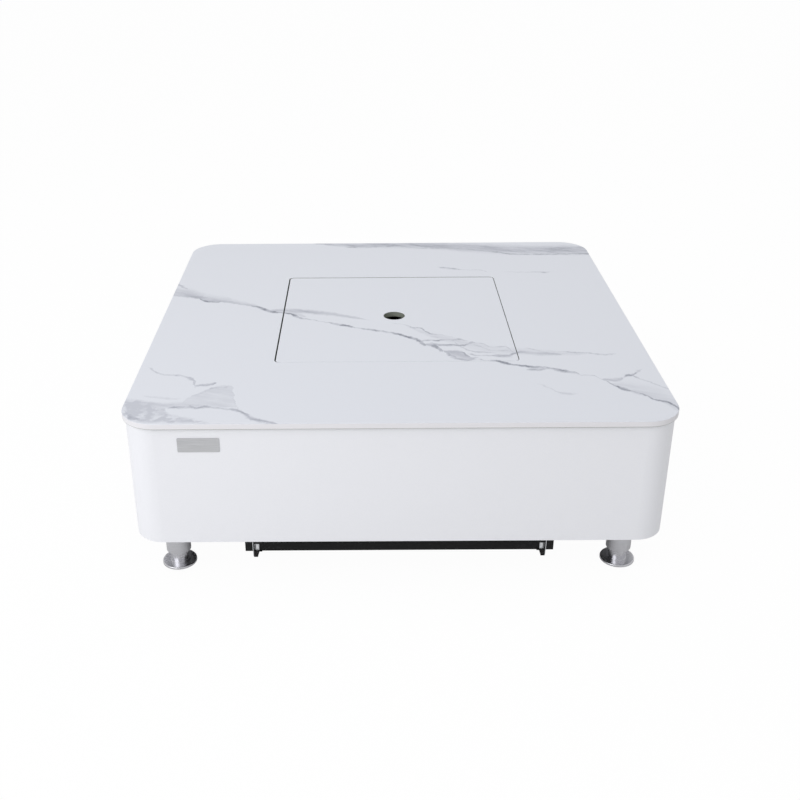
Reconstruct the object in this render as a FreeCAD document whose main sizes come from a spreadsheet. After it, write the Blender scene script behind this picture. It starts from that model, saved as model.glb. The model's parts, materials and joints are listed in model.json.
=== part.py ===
"""Low square gas fire pit table: stone top, flush burner lid, levelling legs and a pull-out lid tray.

Millimetres, +Z up, front towards -Y. The origin is on the floor under the centre of the table.
"""
import FreeCAD, Part
import math
import os
import random
import re
import Sketcher

SIZES = {
    # Stone top and lid
    "table_side": 1067,  # side of the square top
    "slab_thick": 12,  # thickness of the top and of the lid
    "slab_corner": 72,  # corner radius of the top
    "slab_arris": 1,  # small chamfer along the stone's upper edges
    "overhang": 7,  # how far the top stands out past the skirt
    "pit_side": 515,  # side of the opening in the top
    "pit_corner": 12,  # corner radius of the opening
    "lid_gap": 2.2,  # gap all round the lid, if it lay in the middle
    "lid_rest_right": 0.7,  # how far the loose lid lies right of the opening's middle
    "lid_rest_front": 1.6,  # how far the loose lid lies in front of the opening's middle
    "finger_hole": 49,  # diameter of the lifting hole in the lid
    # Skirt and welded frame
    "leg_height": 95,  # floor to the skirt's lower edge
    "skirt_height": 255,  # height of the skirt
    "skirt_corner": 60,  # outer corner radius of the skirt
    "skirt_wall": 2,  # sheet thickness of the skirt and its folded returns
    "return_corner": 15,  # corner radius inside the folded returns
    "frame_clearance": 1,  # room between the frame's corners and the skirt
    "tube_size": 25,  # side of the square frame tube
    "tube_wall": 2,  # wall of the square frame tube
    "plate_wide": 80,  # width of the bare front plate
    "plate_high": 30,  # height of the bare front plate
    "plate_thick": 1,  # thickness of the front plate
    "plate_corner": 2,  # corner radius of the front plate
    "plate_inset": 145,  # skirt's left side to the middle of the front plate
    "plate_drop": 36,  # slab underside to the middle of the front plate
    # Legs
    "leg_clearance": 3.5,  # room between a leg sleeve and the skirt's lower return
    "sleeve_radius": 25,  # outer radius of a leg sleeve
    "sleeve_wall": 2,  # wall of a leg sleeve
    "sleeve_lift": 32,  # floor to the sleeve's lower rim
    "sleeve_cap": 8,  # thickness of the sleeve's closed top
    "nut_plate_depth": 30,  # sleeve's lower rim to the threaded plate inside it
    "nut_plate_thick": 12,  # thickness of the threaded plate
    "bush_recess": 2,  # sleeve's lower rim to the guide bush
    "bush_length": 8,  # length of the guide bush
    "bush_fit": 0.05,  # room between the guide bush and the sleeve
    "stem_radius": 18,  # radius of the foot's stem
    "stem_inside": 18,  # length of stem inside the sleeve
    "stud_radius": 6,  # radius of the foot's threaded stud
    "stud_length": 28,  # length of the foot's threaded stud
    "foot_radius": 35,  # radius of the foot's disc
    "foot_disc": 4.5,  # thickness of the foot's disc
    "foot_arris": 1.5,  # chamfer on the disc's upper edge
    "foot_flare": 14,  # radius of the flare from the disc to the stem
    "glide_thick": 1.5,  # thickness of the glide under the disc
    "glide_inset": 2,  # how far the glide stays inside the disc's edge
    "running_gap": 0.3,  # room round the stem and the stud
    "gusset_size": 85,  # side of a corner gusset
    "gusset_cut": 30,  # cut across the gusset's inner corner
    "gusset_thick": 5,  # thickness of a corner gusset
    "leg_bolt_radius": 5,  # radius of a leg bolt
    "leg_bolt_flats": 17,  # width across the flats of a leg bolt's head
    "leg_bolt_head": 6.4,  # height of a leg bolt's head
    "bolt_gap": 0.2,  # room round bolts and screws
    # Burner
    "ledge_width": 14,  # how far the ledge shows inside the opening
    "ledge_seat": 12.5,  # how far the ledge reaches under the slab
    "ledge_thick": 3,  # thickness of the ledge
    "cushion_thick": 2,  # thickness of the pads under the lid
    "cushion_radius": 6,  # radius of the pads under the lid
    "cushion_spread": 150,  # table centre to a pad, along the ledge
    "pan_sheet": 1.5,  # sheet thickness of the burner pan
    "pan_depth": 75,  # depth of the burner pan
    "pan_fit": 3,  # room between the pan's wall and the ledge
    "pan_clearance": 2,  # room between the pan's rim and the slab
    "pan_corner": 14,  # corner radius of the pan
    "drain_radius": 5,  # radius of a drain hole in the pan
    "drain_spread": 205,  # table centre to a drain hole, each way
    "burner_radius": 150,  # radius of the burner ring, at the tube's centre
    "burner_tube": 9.5,  # radius of the burner tube
    "burner_lift": 12,  # pan floor to the burner tube's centre
    "port_count": 24,  # number of gas ports in the ring
    "port_radius": 1.6,  # radius of a gas port
    "port_depth": 4,  # depth of a gas port
    "hub_radius": 22,  # radius of the burner's hub
    "hub_height": 22,  # height of the burner's hub
    "neck_radius": 10.5,  # radius of the burner's threaded neck
    "neck_length": 28,  # length of the neck under the pan
    "neck_gap": 0.3,  # room round the neck
    "locknut_flats": 34,  # width across the flats of the burner's locknut
    "locknut_thick": 8,  # thickness of the burner's locknut
    "elbow_radius": 14,  # outer radius of the elbow
    "elbow_socket": 14,  # length of neck inside the elbow
    "elbow_straight": 18,  # straight length above the elbow's bend
    "elbow_bend": 26,  # bend radius of the elbow
    "mixer_radius": 12,  # outer radius of the air mixer
    "mixer_bore": 9,  # bore radius of the air mixer
    "mixer_length": 60,  # length of the air mixer
    "air_hole": 5,  # radius of the mixer's air holes
    "air_hole_place": 42,  # mixer's inner end to its air holes
    "jet_flange": 4,  # thickness of the gas jet's flange
    "jet_nose_radius": 5,  # radius of the gas jet's nose
    "jet_nose": 10,  # length of the gas jet's nose inside the mixer
    "jet_tail_radius": 8,  # radius of the gas jet's tail
    "jet_tail": 14,  # length of the gas jet's tail
    "pipe_radius": 5,  # radius of the gas pipe
    "pipe_bend": 60,  # bend radius of the gas pipe
    "pipe_lead": 60,  # straight length of pipe before its bends
    # Spark electrode and thermocouple
    "bracket_wide": 44,  # width of the bracket
    "bracket_sheet": 2,  # sheet thickness of the bracket
    "bracket_foot": 18,  # length of the bracket's foot
    "bracket_rise": 14,  # pan floor to the top of the bracket's shelf
    "bracket_shelf": 20,  # length of the bracket's shelf
    "probe_stand": 14,  # burner tube to the probes' axes
    "probe_spread": 11,  # bracket's middle to each probe
    "probe_fit": 0.3,  # room round the probes
    "electrode_radius": 3.5,  # radius of the electrode's ceramic
    "electrode_collar": 5.5,  # radius of the electrode's collar
    "electrode_above": 14,  # length of ceramic above the shelf
    "electrode_below": 26,  # length of ceramic below the shelf
    "electrode_wire": 1.2,  # radius of the electrode's wire
    "electrode_tip": 10,  # length of bare wire at each end
    "thermocouple_radius": 3,  # radius of the thermocouple
    "thermocouple_collar": 5,  # radius of the thermocouple's collar
    "thermocouple_above": 20,  # length of the thermocouple above the shelf
    "thermocouple_below": 30,  # length of the thermocouple below the shelf
    "collar_high": 3,  # height of both collars
    # Lava rock
    "rock_pitch": 52,  # spacing of the lava rocks
    "rock_radius": 22,  # mean radius of a lava rock
    "rock_high": 38,  # mean height of a lava rock
    "rock_room": 3,  # least room between a rock and the burner or the pan
    # Gas controls in the back
    "window_wide": 190,  # width of the control recess
    "window_high": 84,  # height of the control recess
    "window_corner": 8,  # corner radius of the control recess
    "recess_depth": 48,  # depth of the control recess
    "recess_sheet": 1.5,  # sheet thickness of the control recess
    "recess_rim": 14,  # width of the rim behind the skirt
    "rim_screw_radius": 2,  # radius of a rim screw
    "rim_screw_head": 4,  # radius of a rim screw's head
    "rim_screw_dome": 2,  # height of a rim screw's head
    "rim_screw_length": 7,  # length of a rim screw
    "knob_offset": 48,  # recess centre to the knob, and to the igniter
    "valve_radius": 15,  # radius of the valve's barrel
    "valve_length": 50,  # length of the valve's barrel
    "valve_flange": 34,  # side of the valve's square flange
    "valve_flange_thick": 8,  # thickness of the valve's flange
    "valve_neck_radius": 7.5,  # radius of the valve's neck
    "inlet_boss_radius": 11,  # radius of the valve's inlet boss
    "inlet_boss_drop": 24,  # valve axis to the inlet boss's lower face
    "inlet_boss_back": 30,  # recess to the inlet boss's axis
    "inlet_flats": 19,  # width across the flats of the gas inlet
    "inlet_hex": 8,  # length of the gas inlet's hexagon
    "inlet_thread_radius": 7.94,  # radius of the gas inlet's thread
    "inlet_thread": 16,  # length of the gas inlet's thread
    "inlet_cone": 4,  # length of the flare cone
    "inlet_tip_radius": 5.5,  # radius of the flare cone's tip
    "inlet_bore": 4,  # bore radius of the gas inlet
    "bezel_radius": 26,  # radius of the knob's bezel
    "bezel_thick": 2,  # thickness of the knob's bezel
    "stem_rod_radius": 4,  # radius of the valve stem
    "stem_rod_inside": 18,  # length of valve stem inside the neck
    "stem_rod_out": 25,  # length of valve stem outside the neck
    "stem_fit": 0.1,  # room round the valve stem
    "knob_push": 4,  # travel of the knob when it is pushed in
    "knob_rest_gap": 6,  # bezel to the knob's back
    "knob_radius": 21,  # radius of the knob's skirt
    "knob_skirt": 8,  # height of the knob's skirt
    "knob_boss": 13,  # radius of the knob's boss
    "knob_high": 27,  # height of the knob
    "knob_edge": 2,  # chamfer round the knob's skirt and boss
    "knob_grip": 9,  # thickness of the knob's grip
    "knob_grip_inset": 2.25,  # knob's rim to the end of its grip
    "knob_grip_corner": 3.6,  # corner radius of the knob's grip
    "igniter_radius": 11,  # radius of the igniter's barrel
    "igniter_length": 42,  # length of the igniter's barrel behind the wall
    "igniter_rim_radius": 15,  # radius of the igniter's front rim
    "igniter_rim": 4,  # height of the igniter's front rim
    "igniter_nut_flats": 28,  # width across the flats of the igniter's nut
    "igniter_nut_thick": 5,  # thickness of the igniter's nut
    "igniter_fit": 0.1,  # room round the igniter's barrel
    "button_radius": 9,  # radius of the igniter's button
    "button_stand": 7,  # how far the button stands out of its rim
    "button_inside": 12,  # length of button inside the barrel
    "button_travel": 5,  # travel of the button
    "button_fit": 0.3,  # room round the button
    "button_dome": 2,  # chamfer round the button's face
    # Lid tray and its slides
    "tray_setback": 21.5,  # skirt's front face to the tray's front
    "tray_half": 281,  # half the outer width of the tray
    "tray_length": 540,  # outer length of the tray
    "tray_high": 32,  # height of the tray
    "tray_sheet": 1.5,  # sheet thickness of the tray
    "tray_lip": 12,  # width of the folded lip along the tray's front and back
    "tray_drop": 4,  # skirt's lower edge to the top of the tray and the slides
    "slide_high": 45,  # height of the slides
    "slide_thick": 12.7,  # thickness of a slide
    "slide_length": 500,  # length of the slides
    "slide_sheet": 1.2,  # sheet thickness of the slide members
    "slide_lip": 9.5,  # depth of the outer member
    "middle_back": 3.4,  # hanger to the middle member
    "middle_lip": 7.8,  # depth of the middle member
    "inner_lip": 6.7,  # depth of the inner member
    "race_gap": 3,  # height of each ball race
    "cage_gap": 0.3,  # room between a ball cage and the member that runs over it
    "cage_wide": 4,  # width of a ball cage
    "cage_share": 230,  # length of a ball cage
    "hanger_wide": 15,  # width of a hanger rail
    "hanger_high": 36,  # height of a hanger rail
    "hanger_wall": 1.5,  # wall of a hanger rail
    "hanger_spare": 20,  # how far a hanger rail reaches past its slide
    "plug_face": 1.2,  # thickness of a hanger plug's face
    "plug_depth": 8,  # length of a hanger plug inside its rail
    "plug_fit": 0.15,  # room round a hanger plug
    "slide_screw_radius": 2,  # radius of a slide screw
    "slide_screw_head": 4,  # radius of a slide screw's head
    "slide_screw_dome": 1.4,  # height of a slide screw's head
    "slide_screw_place": 60,  # slide's end to its first screw
    "cap_thick": 3,  # thickness of a slide's end cap
    "cap_seat": 6,  # how far an end cap laps the tray's front
    "cap_gap": 1.6,  # room between an end cap and the hanger
    "cap_window": 17,  # height of the end cap's window
    "cap_strip": 2,  # width of the end cap beside its window
    "cap_taper": 3,  # how far the end cap's foot tapers
}
# Outline of a lava rock from its underside up: share of the height, share of the radius, turn in sides.
ROCK_RINGS = [(0, 0.62, 0), (0.42, 0.93, 0.5), (1, 0.5, 1)]
ROCK_SIDES = 6
ROCK_HEIGHTS = (0.8, 1.2)
ROCK_SPREADS = (0.8, 1.07)
ROCK_SEED = 7
FUNCTIONS = {"sqrt", "cos", "sin", "acos", "deg"}
CENTRE = 3  # number of a circle's centre point in a sketch
TOLERANCE = 1e-6

doc = FreeCAD.newDocument("FirePitTable")
sheet = doc.addObject("Spreadsheet::Sheet", "Sizes")
nodes = []


def fill_sheet():
    """Writes each size to the sheet, with its name as the cell's alias."""
    for row, (alias, value) in enumerate(SIZES.items(), start=1):
        sheet.set(f"A{row}", alias)
        sheet.set(f"B{row}", str(value))
        sheet.setAlias(f"B{row}", alias)
    doc.recompute()


def cells(formula):
    """Turns a formula written in the sizes' own names into an expression on the sheet."""
    def cell(word):
        return word.group() if word.group() in FUNCTIONS else "Sizes." + word.group()
    return re.sub(r"[a-z][a-z_]+", cell, str(formula))


def number(formula):
    """Present value of a formula, for the first guess of a sketch and for shapes made in code."""
    return float(sheet.evalExpression(cells(formula)))


def drive(thing, formulas):
    """Binds properties of a document object to formulas."""
    for path, formula in formulas.items():
        thing.setExpression(path, cells(formula))


def place(thing, x=0, y=0, z=0):
    """Binds the position of a document object to formulas."""
    drive(thing, {"Placement.Base.x": x, "Placement.Base.y": y, "Placement.Base.z": z})


def turn(thing, axis, degrees):
    """Turns a document object about its own origin."""
    rotation = FreeCAD.Rotation(FreeCAD.Vector(*axis), degrees)
    thing.Placement = FreeCAD.Placement(thing.Placement.Base, rotation)


def node(thing, label):
    """Names a finished piece, which then gets its own file."""
    thing.Label = label
    nodes.append(thing)
    return thing


def box(x, y, z, length, width, height):
    """Box with its lowest corner at x, y, z."""
    piece = doc.addObject("Part::Box", "Block")
    drive(piece, {"Length": length, "Width": width, "Height": height})
    place(piece, x, y, z)
    return piece


def rod(radius, length, x, y, z, along="Z"):
    """Round bar that starts at x, y, z and runs along +X, +Y, +Z or down -Z."""
    piece = doc.addObject("Part::Cylinder", "Rod")
    drive(piece, {"Radius": radius, "Height": length})
    turns = {"X": ((0, 1, 0), 90), "Y": ((1, 0, 0), -90), "Z": ((0, 0, 1), 0), "down": ((1, 0, 0), 180)}
    turn(piece, *turns[along])
    place(piece, x, y, z)
    return piece


def cut(base, tool):
    piece = doc.addObject("Part::Cut", "Cut")
    piece.Base = base
    piece.Tool = tool
    return piece


def fuse(*pieces):
    piece = doc.addObject("Part::MultiFuse", "Fused")
    piece.Shapes = list(pieces)
    return piece


def group(*pieces):
    """Several separate solids that share one node."""
    piece = doc.addObject("Part::Compound", "Group")
    piece.Links = list(pieces)
    return piece


def mirror(piece, axis):
    """Mirror image of a piece, left to right (X) or front to back (Y)."""
    copy = doc.addObject("Part::Mirroring", "Mirrored")
    copy.Source = piece
    copy.Normal = FreeCAD.Vector(1, 0, 0) if axis == "X" else FreeCAD.Vector(0, 1, 0)
    return copy


def four_ways(piece):
    """A piece and its images at the table's other three corners."""
    other = mirror(piece, "X")
    return [piece, other, mirror(piece, "Y"), mirror(other, "Y")]


def square_tube(along, x, y, z, length, wide="tube_size", high="tube_size", wall="tube_wall"):
    """Hollow square tube along X, Y or Z, open at both ends, with its lowest corner at x, y, z."""
    inner_wide = f"({wide} - 2 * {wall})"
    inner_high = f"({high} - 2 * {wall})"
    if along == "X":
        outer = box(x, y, z, length, wide, high)
        bore = box(x, f"{y} + {wall}", f"{z} + {wall}", length, inner_wide, inner_high)
    elif along == "Y":
        outer = box(x, y, z, wide, length, high)
        bore = box(f"{x} + {wall}", y, f"{z} + {wall}", inner_wide, length, inner_high)
    else:
        outer = box(x, y, z, wide, high, length)
        bore = box(f"{x} + {wall}", f"{y} + {wall}", z, inner_wide, inner_high, length)
    return cut(outer, bore)


def new_body(name):
    return doc.addObject("PartDesign::Body", name)


def sketch_on(body, plane, level=0):
    """Sketch on one of the body's origin planes, moved to a level along the plane's world axis."""
    sketch = body.newObject("Sketcher::SketchObject", "Sketch")
    support = [item for item in body.Origin.OriginFeatures if item.Role == plane + "_Plane"][0]
    sketch.AttachmentSupport = [(support, "")]
    sketch.MapMode = "FlatFace"
    sign = "-" if plane == "XZ" else ""
    drive(sketch, {"AttachmentOffset.Base.z": f"{sign}({level})"})
    return sketch


def hold(sketch, kind, *place_and_value):
    """Adds a dimension to a sketch and binds it to a formula, the last argument."""
    formula = place_and_value[-1]
    dimension = Sketcher.Constraint(kind, *place_and_value[:-1], number(formula))
    index = sketch.addConstraint(dimension)
    sketch.setExpression(f"Constraints[{index}]", cells(formula))


def point(x, y):
    return FreeCAD.Vector(number(x), number(y), 0)


def outline(sketch, points, closed=True):
    """Line through points. A point (x, y, radius) ends a round stretch that turns clockwise, and one with
    a negative radius ends a round stretch that turns anticlockwise."""
    first = sketch.GeometryCount
    befores = points[-1:] + points[:-1] if closed else points[:-1]
    corners = points if closed else points[1:]
    for before, corner in zip(befores, corners):
        start = point(*before[:2])
        end = point(*corner[:2])
        if len(corner) == 2:
            sketch.addGeometry(Part.LineSegment(start, end), False)
        else:
            sketch.addGeometry(round_stretch(start, end, number(corner[2])), False)
    for index, corner in enumerate(corners if closed else corners[:-1]):
        after = (index + 1) % len(corners)
        sketch.addConstraint(Sketcher.Constraint("Coincident", first + index, ends(corner)[1],
                                                 first + after, ends(corners[after])[0]))
    for index, corner in enumerate(corners):
        hold_point(sketch, first + index, ends(corner)[1], corner)
        if len(corner) == 3:
            hold(sketch, "Radius", first + index, f"sqrt(({corner[2]}) * ({corner[2]}))")
    if not closed:
        hold_point(sketch, first, ends(corners[0])[0], points[0])


def round_stretch(start, end, radius):
    """Arc of less than a half turn, clockwise if the radius is positive."""
    half = (end - start) / 2
    side = FreeCAD.Vector(half.y, -half.x, 0).normalize() * math.copysign(1, radius)
    rise = abs(radius) - math.sqrt(radius * radius - half.Length * half.Length)
    return Part.Arc(start, start + half - side * rise, end)


def ends(corner):
    """Numbers of a stretch's first and last point, which swap on a stretch that turns clockwise."""
    return (2, 1) if len(corner) == 3 and number(corner[2]) > 0 else (1, 2)


def hold_point(sketch, index, end, corner):
    hold(sketch, "DistanceX", index, end, corner[0])
    hold(sketch, "DistanceY", index, end, corner[1])


def rounded_square(sketch, half_x, half_y, corner, centre_x=0, centre_y=0):
    """Rectangle with round corners about a centre."""
    left, right = f"({centre_x} - ({half_x}))", f"({centre_x} + ({half_x}))"
    low, high = f"({centre_y} - ({half_y}))", f"({centre_y} + ({half_y}))"
    outline(sketch, [
        (f"{right} - ({corner})", low),
        (right, f"{low} + ({corner})", f"-({corner})"),
        (right, f"{high} - ({corner})"),
        (f"{right} - ({corner})", high, f"-({corner})"),
        (f"{left} + ({corner})", high),
        (left, f"{high} - ({corner})", f"-({corner})"),
        (left, f"{low} + ({corner})"),
        (f"{left} + ({corner})", low, f"-({corner})"),
    ])


def rectangle(sketch, left, low, right, high):
    outline(sketch, [(right, low), (right, high), (left, high), (left, low)])


def circle(sketch, radius, x=0, y=0):
    normal = FreeCAD.Vector(0, 0, 1)
    index = sketch.addGeometry(Part.Circle(point(x, y), normal, number(radius)), False)
    hold_point(sketch, index, CENTRE, (x, y))
    hold(sketch, "Radius", index, radius)


def hexagon(sketch, flats):
    """Hexagon about the sketch's origin, with two of its sides upright."""
    reach = f"({flats} / sqrt(3))"
    half = f"({flats} / 2)"
    outline(sketch, [
        (half, f"-{reach} / 2"), (half, f"{reach} / 2"), (0, reach),
        (f"-{half}", f"{reach} / 2"), (f"-{half}", f"-{reach} / 2"), (0, f"-{reach}"),
    ])


def pad(body, sketch, length, backwards=False):
    feature = body.newObject("PartDesign::Pad", "Pad")
    feature.Profile = sketch
    feature.Reversed = backwards
    drive(feature, {"Length": length})
    return feature


def pocket(body, sketch, length, backwards=False):
    """Cuts a sketch into the body against the sketch's normal, or along it if backwards."""
    before = solid_volume(body)
    feature = body.newObject("PartDesign::Pocket", "Pocket")
    feature.Profile = sketch
    feature.Reversed = backwards
    drive(feature, {"Length": length})
    if solid_volume(body) >= before:
        raise RuntimeError(f"a pocket in {body.Name} cuts nothing")
    return feature


def solid_volume(body):
    doc.recompute()
    return body.Shape.Volume


def revolve(body, points):
    """Solid of revolution about the body's own Z axis, from (radius, height) points."""
    sketch = sketch_on(body, "XZ")
    outline(sketch, points)
    feature = body.newObject("PartDesign::Revolution", "Revolution")
    feature.Profile = sketch
    feature.ReferenceAxis = (sketch, ["V_Axis"])
    feature.Angle = 360
    return feature


def chamfer_top(body, feature, width):
    """Chamfers every edge of the body's highest face."""
    doc.recompute()
    top = feature.Shape.BoundBox.ZMax
    names = []
    for index, edge in enumerate(feature.Shape.Edges):
        if edge.BoundBox.ZMin > top - TOLERANCE:
            names.append(f"Edge{index + 1}")
    chamfer = body.newObject("PartDesign::Chamfer", "Arris")
    chamfer.Base = (feature, names)
    drive(chamfer, {"Size": width})
    return chamfer


def around(body, feature, count):
    """Repeats a feature round the body's Z axis."""
    pattern = body.newObject("PartDesign::PolarPattern", "Ring")
    pattern.Originals = [feature]
    axis = [item for item in body.Origin.OriginFeatures if item.Role == "Z_Axis"][0]
    pattern.Axis = (axis, [""])
    pattern.Angle = 360
    drive(pattern, {"Occurrences": count})
    body.Tip = pattern
    return pattern


fill_sheet()

# Levels and half widths that the pieces share, worked out from the sizes.
SKIRT_HALF = "(table_side / 2 - overhang)"
SKIRT_INNER = f"({SKIRT_HALF} - skirt_wall)"
FRAME_HALF = f"({SKIRT_INNER} - (skirt_corner - skirt_wall) * (1 - sqrt(0.5)) - frame_clearance)"
FRAME_INNER = f"({FRAME_HALF} - tube_size)"
FRAME_BOTTOM = "(leg_height + skirt_wall)"
SLAB_BOTTOM = "(leg_height + skirt_height)"
FRAME_TOP = f"({SLAB_BOTTOM} - skirt_wall)"
PIT_HALF = "(pit_side / 2)"
PIT_FRAME = f"({PIT_HALF} + ledge_seat)"
LEDGE_INNER = f"({PIT_HALF} - ledge_width)"
LEG_PLACE = f"({FRAME_INNER} - leg_clearance - sleeve_radius)"
PAN_TOP = f"({SLAB_BOTTOM} - cushion_thick)"
PAN_BOTTOM = f"({PAN_TOP} - pan_depth)"
PAN_FLOOR = f"({PAN_BOTTOM} + pan_sheet)"
PAN_WALL = f"({LEDGE_INNER} - pan_fit)"
PAN_RIM = f"({PIT_HALF} - pan_clearance)"
NECK_END = f"({PAN_BOTTOM} - neck_length)"
ELBOW_TOP = f"({NECK_END} + elbow_socket)"
GAS_LEVEL = f"({ELBOW_TOP} - elbow_straight - elbow_bend)"
MIXER_START = "elbow_bend"
JET_START = f"({MIXER_START} + mixer_length)"
PIPE_START = f"({JET_START} + jet_flange + jet_tail)"
RECESS_BACK = f"({SKIRT_INNER} - recess_depth)"
RECESS_FACE = f"({RECESS_BACK} + recess_sheet)"
VALVE_BACK = f"({RECESS_BACK} - valve_length)"
TRAY_FRONT = f"({SKIRT_HALF} - tray_setback)"
SLIDE_TOP = "(leg_height - tray_drop)"
SLIDE_MIDDLE = f"({SLIDE_TOP} - slide_high / 2)"
HANGER_FACE = "(tray_half + slide_thick)"
HANGER_LENGTH = "(slide_length + hanger_spare)"
CORNER_SIGNS = [(-1, -1), (1, -1), (-1, 1), (1, 1)]
PROBE_LINE = "(burner_radius + burner_tube + probe_stand)"
RIM_SCREWS = [
    (f"{x} * (window_wide / 2 + recess_rim / 2)", f"{GAS_LEVEL} + {z} * (window_high / 2 + recess_rim / 2)")
    for x, z in CORNER_SIGNS
]
SLIDE_SCREWS = [f"slide_screw_place - {TRAY_FRONT}", f"slide_length - slide_screw_place - {TRAY_FRONT}"]


def top_slab():
    """Stone top with the square opening over the burner."""
    body = new_body("TopSlab")
    sketch = sketch_on(body, "XY", SLAB_BOTTOM)
    rounded_square(sketch, "table_side / 2", "table_side / 2", "slab_corner")
    rounded_square(sketch, PIT_HALF, PIT_HALF, "pit_corner")
    chamfer_top(body, pad(body, sketch, "slab_thick"), "slab_arris")
    node(body, "top_slab")


def burner_lid():
    """Loose stone lid, flush with the top, with its lifting hole."""
    body = new_body("BurnerLid")
    sketch = sketch_on(body, "XY", SLAB_BOTTOM)
    rounded_square(sketch, f"{PIT_HALF} - lid_gap", f"{PIT_HALF} - lid_gap", "pit_corner - lid_gap")
    circle(sketch, "finger_hole / 2")
    chamfer_top(body, pad(body, sketch, "slab_thick"), "slab_arris")
    place(body, "lid_rest_right", "-lid_rest_front")
    node(body, "burner_lid")


def body_skirt():
    """Wrap-round sheet skirt with folded returns at top and bottom, and the control window in its back."""
    body = new_body("BodySkirt")
    sketch = sketch_on(body, "XY", "leg_height")
    rounded_square(sketch, SKIRT_HALF, SKIRT_HALF, "skirt_corner")
    pad(body, sketch, "skirt_height")
    sketch = sketch_on(body, "XY", "leg_height")
    rounded_square(sketch, FRAME_INNER, FRAME_INNER, "return_corner")
    pocket(body, sketch, "skirt_height", True)
    sketch = sketch_on(body, "XY", FRAME_BOTTOM)
    rounded_square(sketch, SKIRT_INNER, SKIRT_INNER, "skirt_corner - skirt_wall")
    pocket(body, sketch, "skirt_height - 2 * skirt_wall", True)
    sketch = sketch_on(body, "XZ", SKIRT_HALF)
    rounded_square(sketch, "window_wide / 2", "window_high / 2", "window_corner", 0, GAS_LEVEL)
    for x, z in RIM_SCREWS:
        circle(sketch, "rim_screw_radius + bolt_gap", x, z)
    pocket(body, sketch, "skirt_wall", True)
    node(body, "body_skirt")


def front_plate():
    """Bare metal plate on the skirt's front."""
    body = new_body("FrontPlate")
    sketch = sketch_on(body, "XZ", f"-{SKIRT_HALF}")
    rounded_square(sketch, "plate_wide / 2", "plate_high / 2", "plate_corner",
                   f"plate_inset - {SKIRT_HALF}", f"{SLAB_BOTTOM} - plate_drop")
    pad(body, sketch, "plate_thick")
    node(body, "front_plate")


def welded_frame():
    """Square tubes: a ring at the bottom, a ring at the top, four posts and the tubes round the pit."""
    for label, level in (("bottom_rails", FRAME_BOTTOM), ("top_rails", f"{FRAME_TOP} - tube_size")):
        front = square_tube("X", f"-{FRAME_HALF}", f"-{FRAME_HALF}", level, f"2 * {FRAME_HALF}")
        side = square_tube("Y", f"-{FRAME_HALF}", f"-{FRAME_INNER}", level, f"2 * {FRAME_INNER}")
        node(group(front, mirror(front, "Y"), side, mirror(side, "X")), label)
    post = square_tube("Z", f"-{FRAME_HALF}", f"-{FRAME_HALF}", f"{FRAME_BOTTOM} + tube_size",
                       f"{FRAME_TOP} - {FRAME_BOTTOM} - 2 * tube_size")
    node(group(*four_ways(post)), "corner_posts")
    level = f"{SLAB_BOTTOM} - tube_size"
    long_tube = square_tube("Y", PIT_FRAME, f"-{FRAME_INNER}", level, f"2 * {FRAME_INNER}")
    short_tube = square_tube("X", f"-{PIT_FRAME}", PIT_FRAME, level, f"2 * {PIT_FRAME}")
    node(group(long_tube, mirror(long_tube, "X"), short_tube, mirror(short_tube, "Y")), "pit_tubes")
    cross = square_tube("X", f"-{FRAME_INNER}", f"{HANGER_LENGTH} - {TRAY_FRONT} - tube_size", "leg_height",
                        f"2 * {FRAME_INNER}")
    node(cross, "tray_cross_tube")


def lid_ledge():
    """Flat ring inside the pit tubes that carries the burner pan and, through it, the lid."""
    body = new_body("LidLedge")
    sketch = sketch_on(body, "XY", f"{PAN_TOP} - pan_sheet - ledge_thick")
    rectangle(sketch, f"-{PIT_FRAME}", f"-{PIT_FRAME}", PIT_FRAME, PIT_FRAME)
    rounded_square(sketch, LEDGE_INNER, LEDGE_INNER, "pan_corner + pan_fit")
    pad(body, sketch, "ledge_thick")
    node(body, "lid_ledge")


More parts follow.
